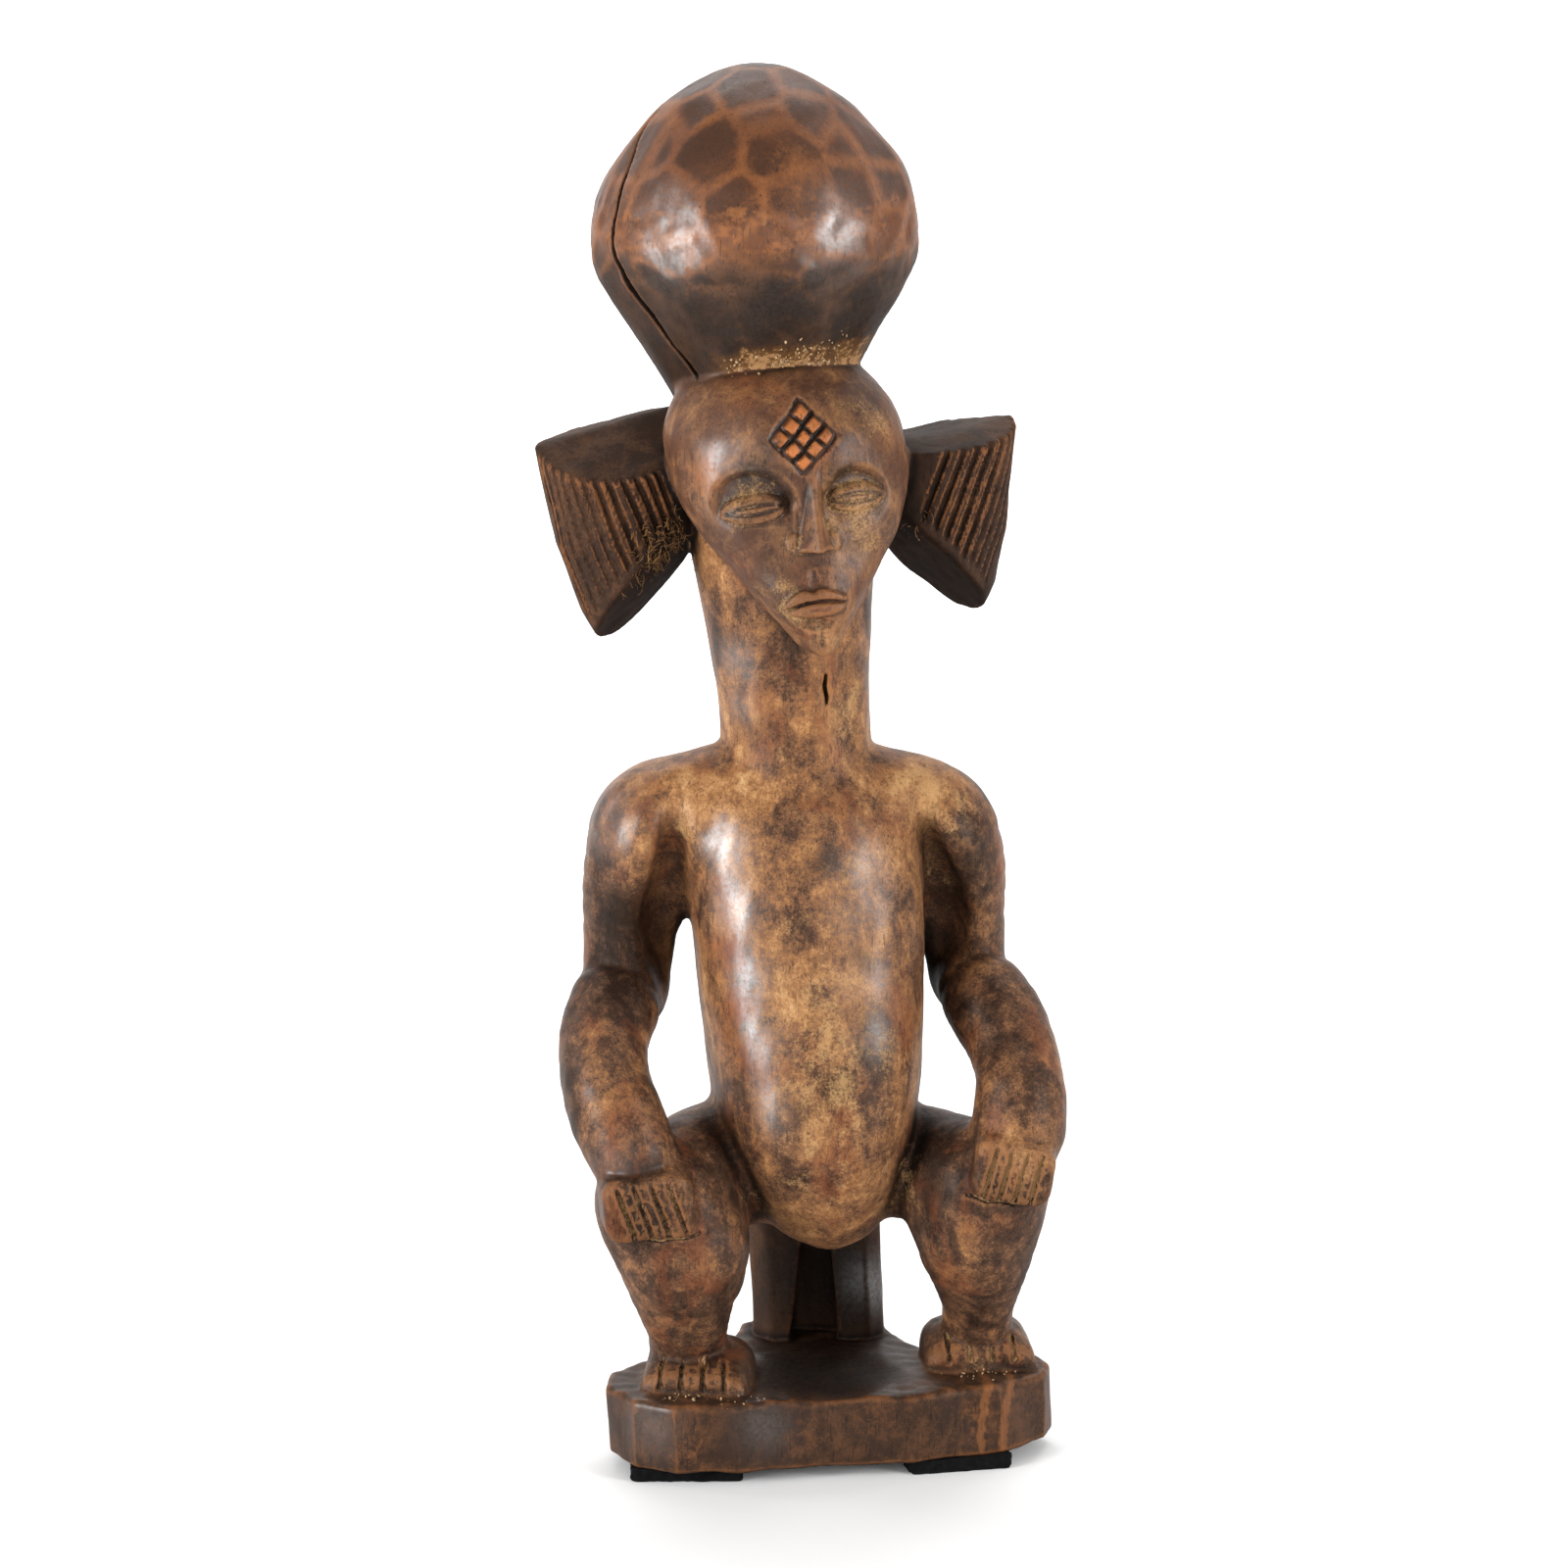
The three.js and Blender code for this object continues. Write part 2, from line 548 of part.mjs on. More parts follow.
// A foot runs from heel to toes; the toes are parted by gouges.
function foot(side) {
  const { x, toes, length, halfWidth, out, lift } = FOOT[side];
  const rows = [
    [length, 0.85, 10],
    [length - 3, 1, 13],
    [13, 1, 13.5],
    [7, 1, 11],
    [3.5, 1, 9],
    [1, 0.97, 7.2],
    [0, 0.9, 5.5],
  ];
  const sink = 3;
  const sides = 16;
  const rings = rows.map(([back, wide, tall]) =>
    Array.from({ length: sides }, (_, i) => {
      const angle = (2 * Math.PI * i) / sides;
      const c = Math.cos(angle);
      const s = Math.sin(angle);
      const across = Math.sign(c) * Math.abs(c) ** 0.75 * halfWidth * wide;
      const up = s > 0 ? tall * s ** 0.8 : -sink * Math.abs(s) ** 0.5;
      return vec(across, back, BASE_TOP + up);
    }),
  );
  const body = solid(loft(rings));
  const gouges = [-1.5, -0.5, 0.5, 1.5].map((k) => {
    const gx = (k * 2 * halfWidth) / 5.2;
    return gouge(vec(gx * 0.92, 9, BASE_TOP + 11), vec(gx, -3, BASE_TOP + 2.5), vec(0, 0.5, -1), 2, 4);
  });
  const place = new THREE.Matrix4().makeRotationZ(radians(out)).setPosition(x, toes, lift);
  return cut(body, gouges).transform(place.elements);
}

// The low seat behind the groin, with chamfered corners and a hollow cut up its front.
function seat() {
  const { x, y, halfWidth, halfDepth, turn, top } = SEAT;
  const chamfer = 5;
  const sink = 6;
  const outline = new THREE.Shape();
  outline.moveTo(-halfWidth + chamfer, -halfDepth);
  outline.lineTo(halfWidth - chamfer, -halfDepth);
  outline.lineTo(halfWidth, -halfDepth + chamfer);
  outline.lineTo(halfWidth, halfDepth - chamfer);
  outline.lineTo(halfWidth - chamfer, halfDepth);
  outline.lineTo(chamfer - halfWidth, halfDepth);
  outline.lineTo(-halfWidth, halfDepth - chamfer);
  outline.lineTo(-halfWidth, -halfDepth + chamfer);
  const body = new THREE.ExtrudeGeometry(outline, { depth: top - BASE_TOP + sink, bevelEnabled: false });
  const hollow = new THREE.Shape();
  hollow.moveTo(-8.5, -4);
  hollow.lineTo(6, -4);
  hollow.lineTo(4.5, 34);
  hollow.lineTo(-3, 34);
  const niche = new THREE.ExtrudeGeometry(hollow, { depth: 14, bevelEnabled: false });
  niche.rotateX(Math.PI / 2).translate(0, 9 - halfDepth, sink + 4);
  const place = new THREE.Matrix4().makeRotationZ(radians(turn)).setPosition(x, y, BASE_TOP - sink);
  return cut(solid(body), [solid(niche)]).transform(place.elements);
}

// The slab base: flat below, a little dished above, and bevelled away behind.
function base() {
  const outline = new THREE.Shape(BASE.map(([x, y]) => new THREE.Vector2(x, y)));
  const chamfer = 1.2;
  const depth = BASE_TOP - PAD_THICKNESS - 2 * chamfer;
  const slab = new THREE.ExtrudeGeometry(outline, { depth, ...chamfered(chamfer) });
  const body = solid(slab.translate(0, 0, PAD_THICKNESS + chamfer));
  const dish = egg([1, -16, BASE_TOP + 10], [34, 36, 12.5], [0, 0, 0], 18);
  return cut(body, [dish]);
}

function carvedFigure() {
  const forms = [
    base(),
    seat(),
    solid(trunk(TORSO, 14, 20)),
    egg([0, 17, 79], [31, 19, 17.5], [0, 0, 0], 14),
    solid(trunk(COLUMN, 7, 20)),
    head(),
    topknot(),
    solid(limb(YOKE, 4, 16, [0.97, 0.8, 0.45])),
  ];
  for (const side of [RIGHT, LEFT]) {
    forms.push(solid(limb(UPPER_ARM[side], 4, 12)));
    forms.push(solid(limb(FOREARM[side], 6, 12)));
    forms.push(solid(limb(THIGH[side], 3, 12)));
    forms.push(solid(limb(SHIN[side], 5, 12)));
    forms.push(hand(side), foot(side), lobe(side));
  }
  const lean = new THREE.Matrix4().set(1, 0, -LEAN, 0, 0, 1, 0, 0, 0, 0, 1, 0, 0, 0, 0, 1);
  return join(forms).transform(lean.elements);
}

function feltPad({ x, y, width, depth, turn }) {
  const corner = 4;
  const w = width / 2;
  const d = depth / 2;
  const outline = new THREE.Shape();
  outline.absarc(w - corner, d - corner, corner, 0, Math.PI / 2);
  outline.absarc(corner - w, d - corner, corner, Math.PI / 2, Math.PI);
  outline.absarc(corner - w, corner - d, corner, Math.PI, 1.5 * Math.PI);
  outline.absarc(w - corner, corner - d, corner, 1.5 * Math.PI, 2 * Math.PI);
  const flat = { depth: PAD_THICKNESS, bevelEnabled: false, curveSegments: 2 };
  const pad = new THREE.ExtrudeGeometry(outline, flat);
  return pad.rotateZ(radians(turn)).translate(x, y, 0);
}

// Back from a manifold solid to a geometry.
function geometryOf(made) {
  const mesh = made.getMesh();
  const geometry = new THREE.BufferGeometry();
  geometry.setAttribute("position", new THREE.BufferAttribute(new Float32Array(mesh.vertProperties), 3));
  geometry.setIndex(new THREE.BufferAttribute(new Uint32Array(mesh.triVerts), 1));
  geometry.computeVertexNormals();
  return geometry;
}

const part = new THREE.Group();

function addMesh(name, geometry, color, roughness) {
  const mesh = new THREE.Mesh(geometry, new THREE.MeshStandardMaterial({ color, roughness, metalness: 0 }));
  mesh.name = name;
  part.add(mesh);
}

const WOOD = { color: 0x5b3a22, roughness: 0.5 };
const FELT = { color: 0x0c0c0d, roughness: 0.95 };

addMesh("carved_figure", geometryOf(carvedFigure()), WOOD.color, WOOD.roughness);
for (const [name, pad] of Object.entries(PADS)) {
  addMesh(`felt_pad_${name}`, feltPad(pad), FELT.color, FELT.roughness);
}

// The origin is under the middle of the whole, at the level that the pads stand on.
const whole = new THREE.Box3().setFromObject(part);
const centre = whole.getCenter(new THREE.Vector3());
part.children.forEach((mesh) => mesh.geometry.translate(-centre.x, -centre.y, 0));

export default part;
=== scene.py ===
"""A carved hardwood figure that squats on a low seat, on three felt pads.

The wood is one surface: every form is a distance field in millimetres, the fields are joined
softly, and the joint surface is drawn out as a fine mesh. Wear, hollows and gouge ridges are
measured from the same fields and kept on the mesh for the material to read.
"""

import bpy
import math
import numpy as np
from mathutils import Matrix, Vector


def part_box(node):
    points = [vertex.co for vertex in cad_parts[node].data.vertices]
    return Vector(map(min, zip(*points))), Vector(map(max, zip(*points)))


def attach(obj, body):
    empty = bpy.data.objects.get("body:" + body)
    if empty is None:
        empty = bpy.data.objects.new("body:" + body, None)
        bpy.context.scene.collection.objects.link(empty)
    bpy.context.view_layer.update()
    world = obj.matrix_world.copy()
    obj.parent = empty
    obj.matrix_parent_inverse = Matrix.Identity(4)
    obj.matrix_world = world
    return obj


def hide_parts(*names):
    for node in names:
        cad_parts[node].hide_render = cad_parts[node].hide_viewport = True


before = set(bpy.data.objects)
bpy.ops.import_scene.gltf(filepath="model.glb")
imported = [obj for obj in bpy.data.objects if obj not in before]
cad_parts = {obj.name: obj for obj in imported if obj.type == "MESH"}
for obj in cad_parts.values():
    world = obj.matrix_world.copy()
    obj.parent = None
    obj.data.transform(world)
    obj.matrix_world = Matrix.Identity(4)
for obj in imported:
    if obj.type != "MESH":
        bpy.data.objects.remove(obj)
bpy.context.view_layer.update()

MM = 0.001
FAR = 60.0
RIGHT, LEFT = -1, 1

# The carving leans to its own right by this much for each millimetre of height.
LEAN = 0.045

# Heights in millimetres.
PAD_THICKNESS = 4.0
BASE_TOP = 24.0
CHIN_Z = 237.0
# How far the head stands off the axis, and how it turns and tips, in degrees.
HEAD_SET = {"x": -0.8, "turn": 9.0, "tip": -3.5}

# Trunk rows are [z, x, y, half width, front, back, squareness].
TORSO = [
    [60, 2.3, 0, 6, 13, 18, 2.1], [65, 2, 0, 14.5, 22, 26, 2.2], [74, 1.3, 0, 21, 30, 28, 2.3],
    [85, 0.5, 0, 26, 37, 27, 2.4], [97, 0.3, 0, 28.5, 41.5, 25, 2.5], [110, 0.9, 0, 30, 40.5, 23, 2.6],
    [128, 1, 0, 31.5, 37.5, 23, 2.7], [150, 1, 1, 32.7, 34.5, 24, 2.7], [172, 0.6, 2, 34, 31.5, 24, 2.6],
    [188, 0, 3, 33, 28, 23, 2.4], [198, 0, 3, 27, 22, 21, 2.2], [204, 0, 3, 20, 16, 18, 2],
]
COLUMN = [
    [166, 0.6, 2, 22, 20, 18, 2.1], [178, 0.6, 3, 26, 26, 20.5, 2.1], [188, 0.6, 3, 26.5, 28.5, 22, 2.1],
    [198, 0.6, 3, 22.6, 24, 21, 2.1], [208, 0.6, 3, 21.3, 21, 21, 2.1],
    [220, 0.3, 3, 21.4, 21, 22, 2.1], [236, 0, 4, 22.9, 22.5, 23.5, 2.1],
    [254, -0.6, 5, 25.2, 25.5, 26, 2.1], [274, -1.5, 6, 27.4, 27.3, 28, 2.1],
    [288, -2.6, 8, 28.4, 28, 29, 2.1], [298, -3.6, 9, 26.5, 27, 28.5, 2],
]
HEAD = [
    [CHIN_Z, 0.7, -31, 1.5, 6.5, 3, 2], [CHIN_Z + 1.5, 0.7, -31, 4, 8.5, 6, 2],
    [CHIN_Z + 4.5, 0.8, -30, 6.6, 10, 10, 2.1], [CHIN_Z + 9.5, 1, -29, 10, 11.5, 12, 2.4],
    [CHIN_Z + 14, 1.2, -28, 13.4, 12.7, 14, 2.5], [CHIN_Z + 18.5, 1.3, -26, 16.8, 14.7, 16, 2.6],
    [CHIN_Z + 23, 1.5, -24, 20.3, 16.5, 18, 2.6], [CHIN_Z + 27.5, 1.7, -22, 23.9, 18, 20, 2.6],
    [CHIN_Z + 32, 1.9, -20, 26.8, 19.8, 22, 2.6], [CHIN_Z + 37, 2.1, -18, 29.4, 21, 24, 2.5],
    [CHIN_Z + 42.5, 2.2, -16, 31.8, 22.5, 25, 2.4], [CHIN_Z + 49, 2.3, -13, 33.5, 26, 26, 2.2],
    [CHIN_Z + 56.5, 2.3, -11, 33.6, 28, 26, 2.1], [CHIN_Z + 62.5, 2.3, -9, 32.6, 28.4, 26, 2.1],
    [CHIN_Z + 69, 2.3, -7, 29.8, 26.5, 24, 2], [CHIN_Z + 74, 2.2, -5, 25.8, 23.5, 22, 2],
    [CHIN_Z + 79, 2, -3, 19.5, 18.5, 18, 2], [CHIN_Z + 82.5, 2, -1.5, 12, 11.5, 12, 2],
    [CHIN_Z + 84, 2, -1, 5, 5, 5, 2],
]

# Limb rows are [x, y, z, radius].
YOKE = [
    [-37, 3, 181, 20.2], [-18, 3, 185, 20.6], [0, 3, 187, 20.6], [16, 3, 185, 20.6], [33.5, 3, 180.5, 20],
]
UPPER_ARM = {
    RIGHT: [[-41.2, 3, 176.5, 18.9], [-44.6, 4, 167, 17.3], [-48.4, 5, 154, 14.3], [-50.6, 5, 136, 12.6]],
    LEFT: [[39.2, 3, 176.5, 18.9], [42.4, 4, 167, 16.6], [45.5, 5, 154, 13.2], [46.8, 5, 136, 11.2]],
}
FOREARM = {
    RIGHT: [
        [-53.5, 1, 135, 10.6], [-56, -6, 131, 12.9], [-59.6, -14, 124, 12.7], [-60.4, -23, 115, 12.6],
        [-58, -30, 106, 13.2], [-54.5, -33.5, 97, 13],
    ],
    LEFT: [
        [48, 1, 135, 10.2], [51, -6, 131, 13], [55, -14, 124, 12.9], [56.8, -23, 116, 12.3],
        [56.4, -30, 109, 13], [55.2, -33, 101, 13.2],
    ],
}
THIGH = {
    RIGHT: [[-10, 12, 81, 17.5], [-24, 0, 83, 18.4], [-36.5, -14, 83, 18.2], [-46.6, -27, 79.5, 17.3]],
    LEFT: [[10, 12, 82, 17], [24, 0, 83, 17], [36, -14, 83, 16.8], [45.6, -26, 82, 16.8]],
}
SHIN = {
    RIGHT: [
        [-46.5, -28, 79, 17.3], [-41.6, -27, 68, 19.6], [-41.4, -24, 56, 15.8],
        [-40.8, -20.5, 47, 13.2], [-40.2, -16.5, 38, 11.3], [-40, -14, 29, 11.3],
    ],
    LEFT: [
        [45.4, -26.5, 81, 16.8], [42.9, -24, 69, 17.8], [43.6, -19.5, 58, 14.6],
        [44.2, -15, 49, 11.9], [44.5, -10.5, 41, 10.3], [44, -7, 30, 10.3],
    ],
}
# Hands: where their middle is, turns about X, Y and Z, width and length, and the fingers' slant.
HAND = {
    RIGHT: {"place": (-51.2, -48.6, 84.3), "turns": (5, -4, 5), "size": (26, 18.5), "slant": 14},
    LEFT: {"place": (51.4, -47.2, 91), "turns": (5, 11, -6), "size": (23, 18), "slant": -6},
}
# Feet: where the tips of the toes are, length and half width, and the degrees of their turn.
FOOT = {
    RIGHT: {"x": -41, "toes": -32, "length": 30, "half": 15.2, "out": -12, "lift": 0},
    LEFT: {"x": 44, "toes": -18.5, "length": 22, "half": 15.8, "out": 0, "lift": 1.4},
}

# Lobe walls are [z, outermost x, half width, half depth]; lids are [z, outward slope, forward slope].
LOBE = {
    RIGHT: {
        "wall": [
            [225, 47.5, 15, 12], [234, 53.2, 16, 13], [244.5, 58.4, 17.5, 14.5],
            [264, 64.6, 20.5, 16.5], [291, 69, 24, 18], [306, 70.6, 26, 18.5],
        ],
        "lid": [[290.9, -0.12, -0.6], [291.5, -0.24, 0.05]],
        "under": {"x": 49.5, "y": 17, "z": 232.6, "inward": 1, "forward": 0.62},
        "reeds": [12, 20, 28, 36, 44, 51],
        "grooves": [59, 67, 77, 87, 96, 104],
        "twist": (0.15, 1.0),
    },
    LEFT: {
        "wall": [
            [228, 47.5, 15, 12], [239, 53.2, 16, 13], [251, 59.2, 18, 14.5],
            [266, 62.7, 20.5, 16.5], [296, 67.2, 24, 18], [310, 69, 26, 18.5],
        ],
        "lid": [[296.3, 0.05, -0.3], [297.3, 0.17, 0]],
        "under": {"x": 49.6, "y": 17, "z": 240.2, "inward": 0.93, "forward": 0.55},
        "reeds": [-8, 2, 12, 21],
        "grooves": [31, 42, 53, 64, 76],
        "twist": (1.0, 1.0),
    },
}
LOBE_Y = 4.0

# The base's corners are (x, y), taken round from its right end.
SEAT = {"x": 1.7, "y": 26, "half_width": 19.3, "half_depth": 11, "turn": -7, "top": 72, "chamfer": 5}
BASE = [
    (-64.4, -20), (-58.4, -35), (-47, -41.5), (-30, -41.8), (-6, -39.8), (20, -39), (47, -33),
    (61.5, -22.5), (64.2, -12), (60, -3), (30, 7.5), (24, 16), (21, 33), (8, 39.5), (-10, 39.5),
    (-21, 33), (-26, 18), (-36, 9), (-54, 1.5), (-62.4, -8.5),
]
PADS = {
    "front_right": {"x": -43.2, "y": -26, "width": 32, "depth": 22, "turn": -5},
    "front_left": {"x": 33.6, "y": -25.5, "width": 30, "depth": 22, "turn": 6},
    "back": {"x": -1, "y": 24, "width": 30, "depth": 22, "turn": 0},
}

# The topknot: gouge facets [radius, z, outward slope up, facets, shift in x] about an upright axis.
KNOT = {"x": -4.2, "y": 10, "middle": 350, "foot": 298}
KNOT_ROWS = [
    [37.6, 327, -31, 13, -1.2], [45, 340.5, -16, 15, -0.9], [46, 351, 2, 16, 0], [43, 362.5, 20, 15, 1.6],
    [36.8, 374, 37, 13, 2.4], [28.1, 384, 50, 10, 2.6], [17.4, 391, 63, 6, 2.6], [0, 395.4, 90, 1, 2.6],
]
# The drying crack: how deep and wide it is, and [z, bearing from the front in degrees] along it.
CRACK = {"depth": 10, "width": 2.1, "top": 386, "bottom": 308}
CRACK_LINE = [
    [308, -36], [317, -44], [322, -48.7], [328, -52.8], [333, -56.2], [339, -58.6], [346, -61.4],
    [352, -64.2], [360, -65.6], [367, -67.5], [373, -74], [379, -82], [388, -92],
]
# The channel behind which each upper arm turns away from the chest: limb rows.
ARMPIT = {
    RIGHT: [
        [-37, -15, 192, 0.5], [-37.5, -13.5, 184, 3.4], [-37.5, -10.5, 175, 6.4], [-38, -7.5, 165, 8.2],
        [-38, -5, 154, 8.6], [-37, -4, 144, 7.5], [-35, -3, 134, 5],
    ],
    LEFT: [
        [33, -15, 192, 0.5], [34.5, -13.5, 184, 3.2], [36, -10.5, 175, 6.2], [37, -7.5, 165, 8],
        [37.5, -5, 154, 8.3], [36.5, -4, 144, 7.2], [35, -3, 134, 5],
    ],
}

# The pads say where the figure's own axis stands in the frame.
pad_low, pad_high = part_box("felt_pad_back")
AXIS = (
    (pad_low.x + pad_high.x) / 2 / MM - PADS["back"]["x"],
    (pad_low.y + pad_high.y) / 2 / MM - PADS["back"]["y"],
)


def smooth_rows(rows, count):
    """Station rows read smoothly at evenly spaced places."""
    rows = np.asarray(rows, float)
    place = np.linspace(0, len(rows) - 1, count)
    i = np.minimum(place.astype(int), len(rows) - 2)
    f = (place - i)[:, None]
    a, b, c, d = (rows[np.clip(i + k, 0, len(rows) - 1)] for k in (-1, 0, 1, 2))
    slope_in, slope_out, rise = (c - a) / 2, (d - b) / 2, c - b
    bend = 3 * rise - 2 * slope_in - slope_out
    twist = slope_in + slope_out - 2 * rise
    return b + f * (slope_in + f * (bend + f * twist))


def uneven(a, b):
    """One repeatable number from 0 to 1 for each pair of whole numbers."""
    wave = math.sin(a * 12.9898 + b * 78.233) * 43758.5453
    return wave - math.floor(wave)


def ramp(low, high, value):
    """0 below low, 1 above high, and a smooth rise between."""
    t = np.clip((value - low) / (high - low), 0, 1)
    return t * t * (3 - 2 * t)


def union(a, b, soft):
    """Two fields joined with a fillet of about this size."""
    h = np.maximum(soft - np.abs(a - b), 0) / soft
    return np.minimum(a, b) - h * h * soft / 4


def common(a, b, soft):
    """What two fields share, with its new edges rounded by about this size."""
    return -union(-a, -b, soft)


class Ripple:
    """Smooth unevenness: a sum of waves of about one length in many directions."""

    def __init__(self, length, seed, waves=7):
        rng = np.random.default_rng(seed)
        way = rng.normal(size=(waves, 3))
        way /= np.linalg.norm(way, axis=1, keepdims=True)
        self.way = (way * (2 * np.pi / length) * rng.uniform(0.7, 1.4, (waves, 1))).astype(np.float32)
        self.phase = rng.uniform(0, 2 * np.pi, waves).astype(np.float32)
        self.share = float(1 / np.sqrt(waves / 2))

    def __call__(self, x, y, z):
        total = 0
        for (a, b, c), phase in zip(self.way, self.phase):
            total = total + np.sin(a * x + b * y + c * z + phase)
        return total * self.share


class Trunk:
    """An upright form with superellipse sections, from a station table."""

    LEVEL = 0.5

    def __init__(self, rows, sloping=False):
        fine = smooth_rows(rows, 60 * len(rows))
        self.low, self.high = rows[0][0], rows[-1][0]
        levels = np.arange(self.low, self.high + self.LEVEL, self.LEVEL)
        columns = [np.interp(levels, fine[:, 0], fine[:, k]) for k in range(1, 7)]
        self.table = np.array(columns, np.float32)
        self.sloping = sloping
        self.box = (
            [min(r[1] - r[3] for r in rows), min(r[2] - r[4] for r in rows), self.low],
            [max(r[1] + r[3] for r in rows), max(r[2] + r[5] for r in rows), self.high],
        )

    def section(self, x, y, z):
        place = np.clip((z - self.low) / self.LEVEL, 0, self.table.shape[1] - 1.01)
        i = place.astype(np.int32)
        f = place - i
        cx, cy, half, front, back, power = self.table[:, i] + f * (self.table[:, i + 1] - self.table[:, i])
        dx, dy = x - cx, y - cy
        u = np.abs(dx) / half
        v = np.abs(dy) / np.where(dy < 0, front, back)
        gauge = np.maximum((u**power + v**power) ** (1 / power), 0.02)
        return gauge, np.sqrt(dx * dx + dy * dy)

    def __call__(self, x, y, z):
        gauge, radius = self.section(x, y, z)
        side = radius * (1 - 1 / gauge)
        if self.sloping:
            above, _ = self.section(x, y, z + 1)
            slope = np.clip((above - gauge) * radius / gauge, -3, 3)
            side = side / np.sqrt(1 + slope * slope)
        end = np.maximum(self.low - z, z - self.high)
        out = np.sqrt(np.maximum(side, 0) ** 2 + np.maximum(end, 0) ** 2)
        return out + np.minimum(np.maximum(side, end), 0)


class Limb:
    """A round limb along a smooth line, with rounded ends."""

    def __init__(self, rows, nodes=11):
        self.nodes = smooth_rows(rows, nodes).astype(np.float32)
        reach = self.nodes[:, 3:4]
        self.box = ((self.nodes[:, :3] - reach).min(0), (self.nodes[:, :3] + reach).max(0))

    def __call__(self, x, y, z):
        nearest = None
        for a, b in zip(self.nodes[:-1], self.nodes[1:]):
            ax, ay, az = b[:3] - a[:3]
            px, py, pz = x - a[0], y - a[1], z - a[2]
            t = np.clip((px * ax + py * ay + pz * az) / (ax * ax + ay * ay + az * az), 0, 1)
            qx, qy, qz = px - t * ax, py - t * ay, pz - t * az
            d = np.sqrt(qx * qx + qy * qy + qz * qz) - (a[3] + t * (b[3] - a[3]))
            nearest = d if nearest is None else np.minimum(nearest, d)
        return nearest


class Placed:
    """A form in a turned frame of its own: turns are degrees about X, Y and Z."""

    def __init__(self, form, place, turns, reach):
        a, b, c = (math.radians(t) for t in turns)
        turn = Matrix.Rotation(c, 3, "Z") @ Matrix.Rotation(b, 3, "Y") @ Matrix.Rotation(a, 3, "X")
        self.turn = np.array(turn, np.float32)
        self.place = np.array(place, np.float32)
        self.form = form
        self.box = (self.place - reach, self.place + reach)

    def local(self, x, y, z):
        px, py, pz = x - self.place[0], y - self.place[1], z - self.place[2]
        return [t[0] * px + t[1] * py + t[2] * pz for t in self.turn.T]

    def __call__(self, x, y, z):
        return self.form(*self.local(x, y, z))


def egg(radii):
    """An ellipsoid about its own middle."""
    a, b, c = radii

    def distance(x, y, z):
        one = np.sqrt((x / a) ** 2 + (y / b) ** 2 + (z / c) ** 2)
        two = np.sqrt((x / a**2) ** 2 + (y / b**2) ** 2 + (z / c**2) ** 2)
        return one * (one - 1) / np.maximum(two, 1e-4)

    return distance


def furrow(across, width, depth):
    """How deep a rounded V groove is, at a distance across it."""
    return depth * np.sqrt(np.maximum(1 - (2 * across / width) ** 2, 0))


# The four cuts between five fingers or toes, counted in digits from the middle one.
CUTS = (-1.5, -0.5, 0.5, 1.5)


def hand_form(size, slant):
    """A flat hand with its back to -Y and its fingers down."""
    width, length = size
    thick = 13.0
    corner = 5.0

    def distance(x, y, z):
        knuckles = 0.35 * (x / 10) ** 2
        y = y - knuckles - 0.012 * (z - 4) ** 2 * (z > 4)
        u = np.abs(x) - (width / 2 - corner)
        w = np.abs(z) - (length / 2 - corner)
        outside = np.sqrt(np.maximum(u, 0) ** 2 + np.maximum(w, 0) ** 2)
        flat = outside + np.minimum(np.maximum(u, w), 0) - corner
        deep = np.abs(y - thick / 2 + 1.6) - thick / 2
        slab = common(flat, deep, 3.2)
        lean = math.tan(math.radians(slant))
        for k in CUTS:
            across = x - k * width / 5.4 - lean * (-z)
            fade = ramp(length * 0.44, length * 0.30, z)
            slab = slab + furrow(across, 1.3, 1.2) * fade * (y < thick / 2)
        return slab

    return distance


def hand_line(side, local, skin):
    """The line cut into the knee along the fingertips, a little way into the surface."""
    width, length = HAND[side]["size"]
    u, v, w = local
    across = np.abs(w + length / 2 + 0.5 + 0.25 * np.sin(u * 0.8))
    inside = np.minimum(0.4 - across, skin + 0.55)
    inside = np.minimum(inside, width / 2 + 0.5 - np.abs(u))
    return np.minimum(inside, 3.0 - v)


def foot_form(length, half):
    """A blocky foot with its toes to -Y, standing on its own zero level."""
    along = [-4, 0, 1, 3.5, 7, 13, length - 3, length]
    wide = np.array([0.7, 0.9, 0.97, 1, 1, 1, 1, 0.85]) * half
    tall = np.array([3.2, 4.6, 6.0, 7.6, 9.2, 10.6, 10.5, 8])

    def distance(x, y, z):
        a = np.interp(y, along, wide).astype(np.float32)
        b = np.interp(y, along, tall).astype(np.float32)
        gauge = np.maximum((np.abs(x / a) ** 3 + np.abs(np.maximum(z, 0) / b) ** 2.6) ** (1 / 2.9), 0.05)
        side = np.sqrt(x * x + z * z) * (1 - 1 / gauge)
        body = common(side, np.maximum(-y - 0.2, y - length), 2.0)
        for k in CUTS:
            across = x - k * 2 * half / 5.0 * (0.9 + 0.1 * (9 - y) / 9)
            fade = ramp(8.5, 4.5, y)
            body = body + furrow(across, 1.5, 1.4) * fade * ramp(0.4, 2.2, z)
        return body

    return distance


